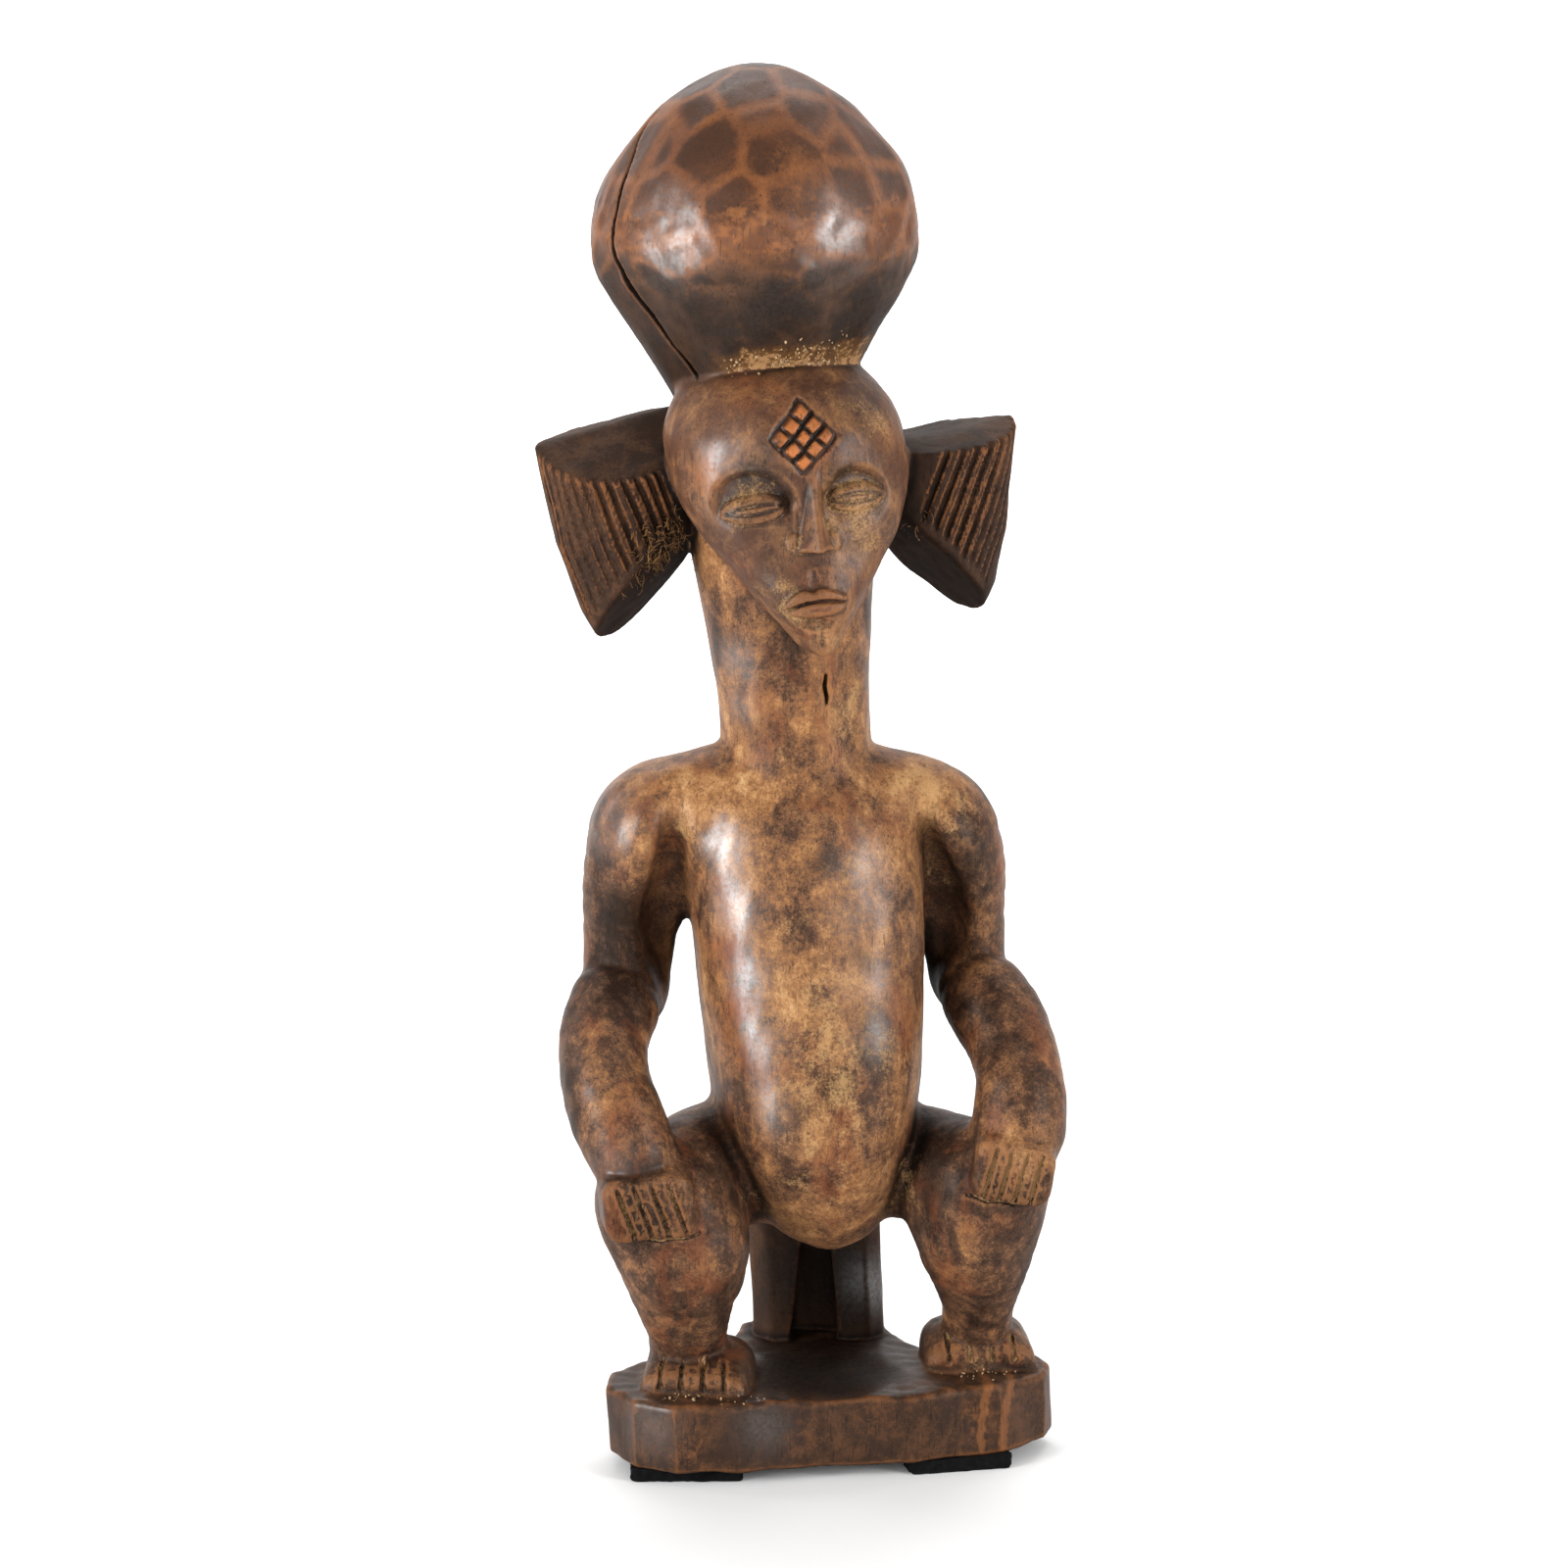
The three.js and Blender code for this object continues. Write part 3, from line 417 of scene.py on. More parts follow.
class Lobe:
    """A side lobe of the hair: half a slanting cone, topped by two planes and cut away below."""

    def __init__(self, side):
        facts = LOBE[side]
        self.side = side
        self.wall = np.array(facts["wall"], float)
        self.lid = facts["lid"]
        self.under = facts["under"]
        self.grooves = [(start, 1.25, 0.6) for start in facts["reeds"]]
        self.grooves += [(start, 1.7, 1.0) for start in facts["grooves"]]
        self.twist = facts["twist"]
        self.top = self.lid[0][0] + 3
        self.outer_top = float(np.interp(self.lid[0][0], self.wall[:, 0], self.wall[:, 1]))
        far = self.wall[:, 1].max()
        low, high = (0, far) if side > 0 else (-far, 0)
        self.box = ([low, LOBE_Y - 20, self.wall[0, 0]], [high, LOBE_Y + 20, self.wall[-1, 0]])

    def section(self, z):
        return [np.interp(z, self.wall[:, 0], self.wall[:, k]).astype(np.float32) for k in (1, 2, 3)]

    def bearing(self, x, y, z):
        """Angle round the wall from its outermost line, in degrees, and the wall's depth there."""
        outer, wide, deep = self.section(z)
        return np.degrees(np.arctan2(np.abs(y - LOBE_Y) / deep, (self.side * x - outer + wide) / wide)), deep

    def reeding(self, x, y, z):
        """0 on a ridge of the gouged wall and 1 in a groove."""
        angle, deep = self.bearing(x, y, z)
        slow, fast = self.twist
        under = self.under
        front = LOBE_Y - np.abs(y - LOBE_Y)
        floor = under["z"] + under["inward"] * (under["x"] - self.side * x)
        floor = floor + under["forward"] * (under["y"] - front)
        fade = ramp(1.5, 6.5, z - floor) * ramp(self.wall[1, 0] + 2, self.wall[1, 0] + 12, z)
        deepest = 0
        for i, (start, width, share) in enumerate(self.grooves):
            kept = np.where(y < LOBE_Y, 1, i % 2)
            lean = slow + (fast - slow) * min(max((start - 20) / 60, 0), 1)
            across = np.radians(angle - start - lean * (self.top - z)) * deep * 1.12
            deepest = np.maximum(deepest, furrow(across, width, share) * kept)
        return deepest * fade

    def __call__(self, x, y, z):
        outer, wide, deep = self.section(z)
        u = (self.side * x - outer + wide) / wide
        v = (y - LOBE_Y) / deep
        gauge = np.maximum(np.sqrt(u * u + v * v), 0.02)
        wall = (gauge - 1) * (wide + deep) / 2 * 0.93
        wall = wall + 1.35 * self.reeding(x, y, z)
        whole = wall
        across = self.side * x - self.outer_top
        for z0, outward, forward in self.lid:
            steep = math.sqrt(1 + outward**2 + forward**2)
            plane = (z - z0 - outward * across + forward * (y - LOBE_Y)) / steep
            whole = common(whole, plane, 1.3)
        under = self.under
        steep = math.sqrt(1 + under["inward"] ** 2 + under["forward"] ** 2)
        rise = under["inward"] * (self.side * x - under["x"]) + under["forward"] * (y - under["y"])
        return common(whole, -(rise + z - under["z"]) / steep, 1.6)


def knot_planes():
    """Touching point and outward direction of each facet of the topknot."""
    points, ways = [], []
    for row, (radius, z, rise, facets, shift) in enumerate(KNOT_ROWS):
        for i in range(facets):
            jitter = uneven(row, i) - 0.5
            around = 2 * math.pi * (i + (row % 2) / 2 + 0.6 * jitter) / facets
            up = math.radians(rise + 5 * (uneven(i, row + 7) - 0.5))
            way = np.array([math.cos(around) * math.cos(up), math.sin(around) * math.cos(up), math.sin(up)])
            touch = np.array([math.cos(around) * radius + shift, math.sin(around) * radius, z])
            touch += 1.3 * (uneven(row + 3, i) - 0.55) * way
            points.append(touch + np.array([KNOT["x"], KNOT["y"], 0]))
            ways.append(way)
    return np.array(points, np.float32), np.array(ways, np.float32)


class Topknot:
    """A balloon of gouge facets, split on one side by a drying crack."""

    HOLLOW = 420.0
    SHARP = 1.1

    def __init__(self):
        self.points, self.ways = knot_planes()
        self.centres = self.points + self.ways * self.HOLLOW
        self.box = ([-55, -40, KNOT["foot"]], [48, 60, 398])
        self.wander = Ripple(24, 5)
        self.scoops = Ripple(9, 6)
        self.line = np.array(CRACK_LINE, np.float32)

    def facets(self, x, y, z):
        """Distance to every facet's slightly hollow face."""
        place = np.stack([x, y, z], -1)
        squares = (place * place).sum(-1)[:, None] + (self.centres**2).sum(-1) - 2 * place @ self.centres.T
        return self.HOLLOW - np.sqrt(np.maximum(squares, 1))

    def gap(self, x, y, z):
        """How far past the middle of one facet towards its neighbour a place is: 0 on a ridge."""
        nearest = np.partition(-self.facets(x, y, z), 1, axis=1)
        return nearest[:, 1] - nearest[:, 0]

    def crack(self, x, y, z):
        px, py = x - KNOT["x"], y - KNOT["y"]
        out = np.sqrt(px * px + py * py)
        aim = np.interp(z, self.line[:, 0], self.line[:, 1]).astype(np.float32)
        turn = np.radians(np.degrees(np.arctan2(px, -py)) - aim)
        across = turn * out + 0.5 * self.wander(x, y, z)
        bulge = 45 * np.sqrt(np.maximum(0, 1 - ((z - KNOT["middle"] + 4) / 54) ** 2)) - CRACK["depth"]
        ends = np.clip((CRACK["top"] - z) / 26, 0, 1) * np.clip((z - CRACK["bottom"] + 10) / 14, 0, 1)
        half = CRACK["width"] / 2 * np.sqrt(ends) * np.clip((out - bulge) / 7, 0, 1) ** 0.5
        return np.maximum(np.abs(across) - half, (bulge - out) * 0.4)

    def __call__(self, x, y, z):
        flat = [a.ravel() for a in (x, y, z)]
        each = self.facets(*flat)
        top = each.max(1)
        soft = np.log(np.exp(self.SHARP * (each - top[:, None])).sum(1)) / self.SHARP
        ball = (top + soft).reshape(x.shape) - 0.25
        belt = ramp(334, 342, z) * ramp(366, 352, z)
        ball = ball + 0.22 * belt * np.maximum(self.scoops(x, y, z), -0.6)
        ball = np.maximum(ball, KNOT["foot"] - z)
        return common(ball, -self.crack(x, y, z), 0.5)


class Seat:
    """The low block seat, with a hollow cut up its front."""

    def __init__(self):
        self.box = ([-22, 12, BASE_TOP - 8], [26, 42, SEAT["top"]])
        turn = math.radians(SEAT["turn"])
        self.c, self.s = math.cos(turn), math.sin(turn)

    def __call__(self, x, y, z):
        px, py = x - SEAT["x"], y - SEAT["y"]
        u, v = px * self.c + py * self.s, py * self.c - px * self.s
        a, b = np.abs(u) - SEAT["half_width"], np.abs(v) - SEAT["half_depth"]
        corner = (a + b + SEAT["chamfer"]) / math.sqrt(2)
        block = common(common(a, b, 1.2), corner, 1.5)
        block = common(block, np.maximum(BASE_TOP - 8 - z, z - SEAT["top"]), 2)
        up = z - BASE_TOP
        share = np.clip(up / 34, 0, 1)
        left, right = -8.5 + 5.5 * share, 6 - 1.5 * share
        niche = np.maximum(np.maximum(left - u, u - right), up - 32)
        niche = np.maximum(niche, v - (9 - SEAT["half_depth"]))
        return common(block, -niche, 1.2)


class Base:
    """The hand-cut slab, dished between the feet."""

    def __init__(self):
        self.corners = np.array(BASE, np.float32)
        self.box = ([-66, -44, PAD_THICKNESS], [66, 42, BASE_TOP + 2])
        self.dish = Placed(egg((34, 36, 12.5)), (1, -16, BASE_TOP + 10), (0, 0, 0), 40)
        self.bumps = Ripple(19, 11)
        self.strokes = Ripple(7, 12)

    def outline(self, x, y):
        nearest = np.full(x.shape, 1e6, np.float32)
        inside = np.full(x.shape, -1.0, np.float32)
        for (ax, ay), (bx, by) in zip(self.corners, np.roll(self.corners, -1, 0)):
            ex, ey = bx - ax, by - ay
            px, py = x - ax, y - ay
            t = np.clip((px * ex + py * ey) / (ex * ex + ey * ey), 0, 1)
            nearest = np.minimum(nearest, (px - t * ex) ** 2 + (py - t * ey) ** 2)
            crossing = ((ay > y) != (by > y)) & (x < ex * (y - ay) / (ey + 1e-9) + ax)
            inside = np.where(crossing, -inside, inside)
        return -inside * np.sqrt(nearest)

    def __call__(self, x, y, z):
        side = self.outline(x, y) + 0.25 * self.bumps(x, y, z * 0.4)
        top = z - BASE_TOP + 0.2 * self.bumps(x, y, 0 * z) + 0.1 * self.strokes(x, y, z)
        slab = common(side, top, 2.2)
        slab = common(slab, PAD_THICKNESS - z, 1.2)
        return common(slab, -self.dish(x, y, z), 1.5)


def bump(x, z, cx, cz, half_wide, half_tall, turn=0.0):
    """1 at the middle of an oval and 0 at its edge, falling smoothly; turn is in degrees."""
    c, s = math.cos(math.radians(turn)), math.sin(math.radians(turn))
    u = ((x - cx) * c + (z - cz) * s) / half_wide
    w = ((z - cz) * c - (x - cx) * s) / half_tall
    return np.sqrt(np.maximum(1 - u * u - w * w, 0))


def swelling(x, z, cx, cz, half_wide, half_tall):
    """1 at the middle of an oval and 0 at its edge, with no line where it ends."""
    return np.maximum(1 - ((x - cx) / half_wide) ** 2 - ((z - cz) / half_tall) ** 2, 0) ** 2


# The face's features in the head's own turned frame. A socket is (x, z, half width, half height),
# and a pit is how deep the eye's inner corner goes.
EYES = [
    {"x": -14.2, "z": 279.1, "half": 8.9, "tilt": 7, "socket": (-14.0, 280.2, 11.0, 10.0), "pit": 2.6},
    {"x": 14.4, "z": 279.9, "half": 8.6, "tilt": 0, "socket": (14.2, 279.6, 10.0, 9.1), "pit": 1.0},
]
NOSE = {"root": (2.4, 286), "tip": (0.5, 268.0), "proud": 6.8, "half": 5.0}
MOUTH = {"x": -1.4, "z": 252.0, "half": 9.4, "tilt": 5.5}
LOZENGE = {"x": 1.0, "z": 297.9, "up": (3.5, 3.12), "down": (2.65, -3.2), "deep": 1.3}


def lozenge_grid(x, z):
    """Where a place lies in the lozenge, counted in cells from its middle."""
    (ax, az), (bx, bz) = LOZENGE["up"], LOZENGE["down"]
    whole = ax * bz - az * bx
    px, pz = x - LOZENGE["x"], z - LOZENGE["z"]
    return (px * bz - pz * bx) / whole, (pz * ax - px * az) / whole


def lozenge_grooves(x, z):
    """1 in the middle of a groove between the lozenge's squares and 0 outside the grooves."""
    u, w = lozenge_grid(x, z)
    deepest = 0
    for one, other, width, full in ((u, w, 0.28, 0.8), (w, u, 0.4, 1.0)):
        along = ramp(1.66, 1.45, np.abs(other))
        wander = 0.05 * np.sin(3.1 * other + 1.7 * one)
        for line, share in ((-1.5, 0.6), (-0.5, 1), (0.5, 1), (1.5, 0.5)):
            deepest = np.maximum(deepest, furrow(one + wander - line, width, share * full) * along)
    return deepest


def lozenge_squares(x, z):
    """1 in the middle of each of the lozenge's nine squares, falling towards their borders."""
    u, w = lozenge_grid(x, z)
    out = np.maximum(np.abs(u - np.round(u)), np.abs(w - np.round(w)))
    within = (np.abs(u) < 1.5) & (np.abs(w) < 1.5)
    return ramp(0.48, 0.24, out) * within


def lozenge_relief(x, z):
    """Three by three small squares left between crossed grooves."""
    u, w = lozenge_grid(x, z)
    raised = 0.35 * ramp(1.6, 1.2, np.abs(u)) * ramp(1.6, 1.2, np.abs(w)) + 0.35 * lozenge_squares(x, z)
    return raised - LOZENGE["deep"] * lozenge_grooves(x, z)


def along_and_above(x, z, feature):
    """How far along a tilted feature a place lies, -1 to 1, and how far above it in millimetres."""
    tilt = math.radians(feature["tilt"])
    c, s = math.cos(tilt), math.sin(tilt)
    px, pz = x - feature["x"], z - feature["z"]
    return (px * c + pz * s) / feature["half"], pz * c - px * s


def eye_lines(x, z, eye):
    """1 in the lines above and below a slit eye, less over its upper lid, and 0 beside them."""
    u, w = along_and_above(x, z, eye)
    arch = np.maximum(1 - u * u, 0)
    upper = np.exp(-(((w - 1.9 * arch + 0.2) / 0.6) ** 2))
    lower = 0.8 * np.exp(-(((w + 1.3 * arch - 0.1) / 0.5) ** 2))
    over = 0.5 * np.exp(-(((w - 4.9 * np.sqrt(arch)) / 0.8) ** 2))
    return np.minimum(upper + lower + over, 1) * ramp(0.03, 0.25, arch)


def eye_relief(x, z, eye):
    """A sunk socket under an arched brow, and a slit eye between two lids."""
    sx, sz, sa, sb = eye["socket"]
    oval = np.sqrt(((x - sx) / sa) ** 2 + ((z - sz) / sb) ** 2)
    fall = np.clip((z - (sz - 6)) / 11, 0, 1)
    height = -2.7 * ramp(1.12, 0.72, oval) * fall
    u, w = along_and_above(x, z, eye)
    arch = np.maximum(1 - u * u, 0)
    lid = np.sqrt(np.maximum(1 - u * u - (w / np.where(w > 0, 4.4, 3.6)) ** 2, 0))
    height = height + 2.5 * lid
    upper, lower = 1.9 * arch - 0.2, 0.1 - 1.3 * arch
    inside = ramp(0.3, -0.3, w - upper) * ramp(-0.3, 0.3, w - lower) * ramp(0.02, 0.3, arch)
    height = height - 0.75 * inside
    height = height + 0.55 * np.exp(-(((w - 0.25 * arch) / 0.75) ** 2)) * ramp(0.15, 0.5, arch)
    inner = -math.copysign(1, eye["x"])
    pit_x, pit_z = eye["x"] + inner * (eye["half"] - 0.4), eye["z"] + 1.3
    return height - eye["pit"] * np.exp(-(((x - pit_x) / 1.6) ** 2 + ((z - pit_z) / 2.2) ** 2))


def nose_relief(x, z):
    """A straight ridge of two planes that ends in a blunt, undercut tip."""
    (rx, rz), (tx, tz) = NOSE["root"], NOSE["tip"]
    down = np.clip((rz - z) / (rz - tz), 0, 1.2)
    middle = rx + (tx - rx) * down
    half = 2.0 + (NOSE["half"] - 2.0) * down**1.5
    tall = NOSE["proud"] * (0.17 + 0.83 * down**1.1)
    across = np.abs(x - middle) / half
    ridge = tall * (1 - across**1.25) * (across < 1)
    return ridge * ramp(rz + 4.5, rz - 1, z) * ramp(tz - 1.7, tz - 0.1, z)


def wing_relief(x, z):
    """Small nostril wings, each parted from the ridge by a crease."""
    tx, tz = NOSE["tip"]
    wings = bump(x, z, tx - 5.6, tz + 1.6, 2.6, 2.7) + bump(x, z, tx + 5.4, tz + 1.2, 2.4, 2.6)
    creases = np.exp(-(((np.abs(x - tx) - 4.9 + 0.16 * (z - tz)) / 0.6) ** 2)) * ramp(tz - 1, tz + 1, z)
    return 0.7 * wings - 0.45 * creases * ramp(tz + 13, tz + 7, z)


def mouth_relief(x, z):
    """Full lips on a gently raised muzzle, with a dent over the chin."""
    u, w = along_and_above(x, z, MOUTH)
    arch = np.maximum(1 - u * u, 0)
    line = 2.1 * arch - 0.4 - 0.5 * u * arch
    bow = 1 - 0.32 * np.exp(-(((u + 0.05) / 0.17) ** 2)) - 0.18 * u
    upper = line + 0.4 + 3.4 * np.sqrt(arch) * bow
    lower = line - 4.6 * np.sqrt(np.maximum(1 - (u / 0.86) ** 2, 0))
    height = 2.0 * swelling(x, z, MOUTH["x"], MOUTH["z"] + 1.5, 17, 13)
    height = height + 2.3 * ramp(0.3, -0.8, w - upper) * ramp(-0.3, 1.0, w - line) * ramp(0, 0.3, arch)
    height = height + 2.3 * ramp(-0.4, 0.9, w - lower) * ramp(0.3, -1.0, w - line) * (np.abs(u) < 0.86)
    height = height - 0.5 * np.exp(-(((w - line) / 0.5) ** 2)) * ramp(0, 0.2, arch)
    height = height - 0.6 * bump(x, z, MOUTH["x"] + 0.2, MOUTH["z"] + 7.4, 1.5, 3.0)
    height = height - 1.1 * bump(x, z, MOUTH["x"] + 0.3, MOUTH["z"] - 5.2, 4.6, 1.9)
    return height - 0.5 * np.exp(-(((x + 0.1) / 0.7) ** 2)) * ramp(247.5, 245.5, z) * ramp(239, 241, z)


class Head:
    """The heart-shaped mask in front of the neck, with its relief, in the turned frame of the head."""

    def __init__(self):
        self.mask = Trunk(HEAD, sloping=True)
        turn = Matrix.Rotation(math.radians(HEAD_SET["tip"]), 3, "Y") @ Matrix.Rotation(
            math.radians(HEAD_SET["turn"]), 3, "Z"
        )
        self.turn = np.array(turn, np.float32)
        self.box = ([-45, -48, CHIN_Z - 4], [44, 30, CHIN_Z + 88])

    def local(self, x, y, z):
        px, py, pz = x - HEAD_SET["x"], y, z - CHIN_Z
        u, v, w = (t[0] * px + t[1] * py + t[2] * pz for t in self.turn.T)
        return u, v, w + CHIN_Z

    def relief(self, u, w):
        nose = nose_relief(u, w)
        clear = ramp(2.0, 0.2, nose)
        height = nose + wing_relief(u, w) * clear
        for eye in EYES:
            height = height + eye_relief(u, w, eye) * clear
        height = height + mouth_relief(u, w) + lozenge_relief(u, w)
        hollow = swelling(u, w, -14.5, 266.5, 12, 10) + swelling(u, w, 15, 266, 11.5, 10)
        return height - 1.2 * hollow

    def __call__(self, x, y, z):
        u, v, w = self.local(x, y, z)
        skin = self.mask(u, v, w)
        front = ramp(-12, -18, v)
        return skin - self.relief(u, w) * front


def neck_crack(x, y, z):
    """A short drying check in the front of the neck."""
    across = x - 7.4 + 0.25 * np.sin(z * 0.9)
    half = 0.6 * np.sqrt(np.maximum(1 - ((z - 224.3) / 4.9) ** 2, 0))
    return np.maximum(np.abs(across) - half, y + 10)


class Slot:
    """A channel along a limb line, open to the front."""

    def __init__(self, rows):
        self.limb = Limb(rows, 9)
        self.line = np.array(sorted([r[2], r[1]] for r in rows), np.float32)

    def __call__(self, x, y, z):
        back = np.interp(z, self.line[:, 0], self.line[:, 1]).astype(np.float32)
        return self.limb(x, np.maximum(y, back), z)


class Hollowed:
    """A form with channels cut into it, their edges well rounded."""

    def __init__(self, form, sides, soft=8.0):
        self.form, self.box, self.soft = form, form.box, soft
        self.slots = [Slot(ARMPIT[side]) for side in sides]

    def __call__(self, x, y, z):
        d = self.form(x, y, z)
        for slot in self.slots:
            d = common(d, -slot(x, y, z), self.soft)
        return d


# Each form with the size of the fillet that joins it to the ones before.
FORMS = {
    "base": (Base(), 1.0),
    "seat": (Seat(), 0.8),
    "column": (Trunk(COLUMN), 1.0),
    "yoke": (Hollowed(Limb(YOKE, 9), (RIGHT, LEFT)), 2.5),
    "right_upper_arm": (Hollowed(Limb(UPPER_ARM[RIGHT], 8), (RIGHT,)), 5.0),
    "left_upper_arm": (Hollowed(Limb(UPPER_ARM[LEFT], 8), (LEFT,)), 5.0),
    "torso": (Trunk(TORSO), 2.6),
    "buttocks": (Placed(egg((31, 19, 17.5)), (0, 17, 79), (0, 0, 0), 32), 4.0),
}
for side, name in ((RIGHT, "right"), (LEFT, "left")):
    hand = HAND[side]
    foot = FOOT[side]
    FORMS[name + "_forearm"] = (Limb(FOREARM[side]), 2.2)
    FORMS[name + "_thigh"] = (Limb(THIGH[side], 8), 4.5)
    FORMS[name + "_shin"] = (Limb(SHIN[side]), 7.0)
    FORMS[name + "_hand"] = (
        Placed(hand_form(hand["size"], hand["slant"]), hand["place"], hand["turns"], 20), 2.2
    )
    place = (foot["x"], foot["toes"], BASE_TOP + foot["lift"])
    foot_shape = foot_form(foot["length"], foot["half"])
    FORMS[name + "_foot"] = (Placed(foot_shape, place, (0, 0, foot["out"]), 38), 1.6)
FORMS["head"] = (Head(), 1.6)
FORMS["right_lobe"] = (Lobe(RIGHT), 1.2)
FORMS["left_lobe"] = (Lobe(LEFT), 1.2)
FORMS["topknot"] = (Topknot(), 1.6)

# The hand-cut surface is never quite even.
broad = Ripple(17, 1)
strokes = Ripple(6.5, 2)
fine = Ripple(2.6, 3)


def out_of_reach(form, low, high):
    """Whether a form's box lies clear of the box between two corners."""
    return np.any(np.array(form.box[0]) > high) or np.any(np.array(form.box[1]) < low)


def figure(x, y, z, near=9.0):
    """Distance to the carved surface, in the figure's own upright frame."""
    low = np.array([x.min(), y.min(), z.min()]) - near
    high = np.array([x.max(), y.max(), z.max()]) + near
    whole = None
    for form, soft in FORMS.values():
        if out_of_reach(form, low, high):
            continue
        d = form(x, y, z)
        whole = d if whole is None else union(whole, d, soft)
    if whole is None:
        return np.full(x.shape, FAR, np.float32)
    whole = whole + 0.12 * broad(x, y, z * 0.7) + 0.035 * strokes(x, y, z * 0.6) + 0.015 * fine(x, y, z)
    if low[2] < 230 and high[2] > 218 and low[1] < -10:
        whole = np.maximum(whole, -neck_crack(x, y, z))
    for side, name in ((RIGHT, "right"), (LEFT, "left")):
        middle = side * 36
        near_hand = low[2] < 86 and high[2] > 70 and low[1] < -34
        if near_hand and low[0] < middle + 30 and high[0] > middle - 30:
            whole = np.maximum(whole, hand_line(side, FORMS[name + "_hand"][0].local(x, y, z), whole))
    return whole


def sample_field(step):
    """The field on a fine grid, worked out only in the blocks that the surface may cross."""
    low = np.array([-78.0, -66.0, 2.0])
    high = np.array([78.0, 62.0, 400.0])
    block = 16
    counts = np.ceil((high - low) / (step * block)).astype(int)
    size = counts * block
    field = np.full(size, FAR, np.float32)
    mids = [low[k] + (np.arange(counts[k]) + 0.5) * block * step for k in range(3)]
    grid = np.meshgrid(*mids, indexing="ij")
    middle = figure(*(g.astype(np.float32).ravel() for g in grid)).reshape(counts)
    reach = block * step * math.sqrt(3) / 2 * 1.45 + 1
    ticks = [(low[k] + np.arange(size[k]) * step).astype(np.float32) for k in range(3)]
    for i, j, k in np.ndindex(*counts):
        cut = tuple(slice(n * block, n * block + block) for n in (i, j, k))
        if abs(middle[i, j, k]) > reach:
            field[cut] = math.copysign(FAR, middle[i, j, k])
            continue
        x, y, z = np.meshgrid(*(ticks[n][cut[n]] for n in range(3)), indexing="ij")
        field[cut] = figure(x, y, z)
    return field, low


def surface_net(field, low, step):
    """Vertices and quads of the zero surface, one vertex in each cell that it crosses."""
    inside = field < 0
    total = np.zeros([n - 1 for n in field.shape], np.uint8)
    corners = [(i, j, k) for i in (0, 1) for j in (0, 1) for k in (0, 1)]
    ends = [slice(None, -1), slice(1, None)]
    for i, j, k in corners:
        total += inside[ends[i], ends[j], ends[k]]
    cells = np.argwhere((total > 0) & (total < 8)).astype(np.int32)
    index = np.full(total.shape, -1, np.int32)
    index[tuple(cells.T)] = np.arange(len(cells))
    sums = np.zeros((len(cells), 3))
    hits = np.zeros(len(cells))
    for a in corners:
        for axis in range(3):
            if a[axis]:
                continue
            b = list(a)
            b[axis] = 1
            fa = field[tuple((cells + a).T)]
            fb = field[tuple((cells + b).T)]
            crossed = (fa < 0) != (fb < 0)
            share = np.where(crossed, fa / np.where(crossed, fa - fb, 1), 0)
            for n in range(3):
                sums[:, n] += crossed * (a[n] + (share if n == axis else 0))
            hits += crossed
    points = low + step * (cells + sums / hits[:, None])
    quads = []
    for axis in range(3):
        first, second = [n for n in range(3) if n != axis]
        lower = [slice(None)] * 3
        upper = [slice(None)] * 3
        lower[axis], upper[axis] = slice(None, -1), slice(1, None)
        here, there = inside[tuple(lower)], inside[tuple(upper)]
        edges = np.argwhere(here != there)
        leaving = here[tuple(edges.T)]
        ring = []
        for da, db in ((-1, -1), (0, -1), (0, 0), (-1, 0)):
            cell = edges.copy()
            cell[:, first] += da
            cell[:, second] += db
            ring.append(index[tuple(cell.T)])
        quad = np.stack(ring, 1)
        flip = leaving if axis == 1 else ~leaving
        quad[flip] = quad[flip][:, ::-1]
        quads.append(quad)
    return points, np.concatenate(quads)


def mesh_from(name, points, faces):
    """A mesh from an array of points and an array of faces with the same number of corners."""
    mesh = bpy.data.meshes.new(name)
    corners = faces.shape[1]
    mesh.vertices.add(len(points))
    mesh.vertices.foreach_set("co", np.asarray(points, np.float32).ravel())
    mesh.loops.add(faces.size)
    mesh.loops.foreach_set("vertex_index", faces.astype(np.int32).ravel())
    mesh.polygons.add(len(faces))
    mesh.polygons.foreach_set("loop_start", np.arange(0, faces.size, corners, dtype=np.int32))
    mesh.update(calc_edges=True)
    mesh.validate()
    return mesh


def new_object(name, mesh):
    """A mesh as an object of the scene."""
    made = bpy.data.objects.new(name, mesh)
    bpy.context.scene.collection.objects.link(made)
    return made


def baked(source):
    """The mesh that an object's modifiers give."""
    graph = bpy.context.evaluated_depsgraph_get()
    return bpy.data.meshes.new_from_object(source.evaluated_get(graph), depsgraph=graph)


def vertex_places(mesh):
    """The places of a mesh's vertices, one row each."""
    flat = np.empty(len(mesh.vertices) * 3, np.float32)
    mesh.vertices.foreach_get("co", flat)
    return flat.reshape(-1, 3)


def to_frame(points):
    """From the figure's own upright frame in millimetres to the shared frame in metres."""
    moved = points.copy()
    moved[:, 0] += AXIS[0] - LEAN * points[:, 2]
    moved[:, 1] += AXIS[1]
    return moved * MM


# Grid step in millimetres, and the share of the faces kept in the plain and in the finely carved parts.
STEP = 0.64
PLAIN_SHARE = 0.155
FINE_SHARE = 0.36
CORNERS = np.array([(1, -1, -1), (-1, -1, 1), (-1, 1, -1), (1, 1, 1)], np.float32)


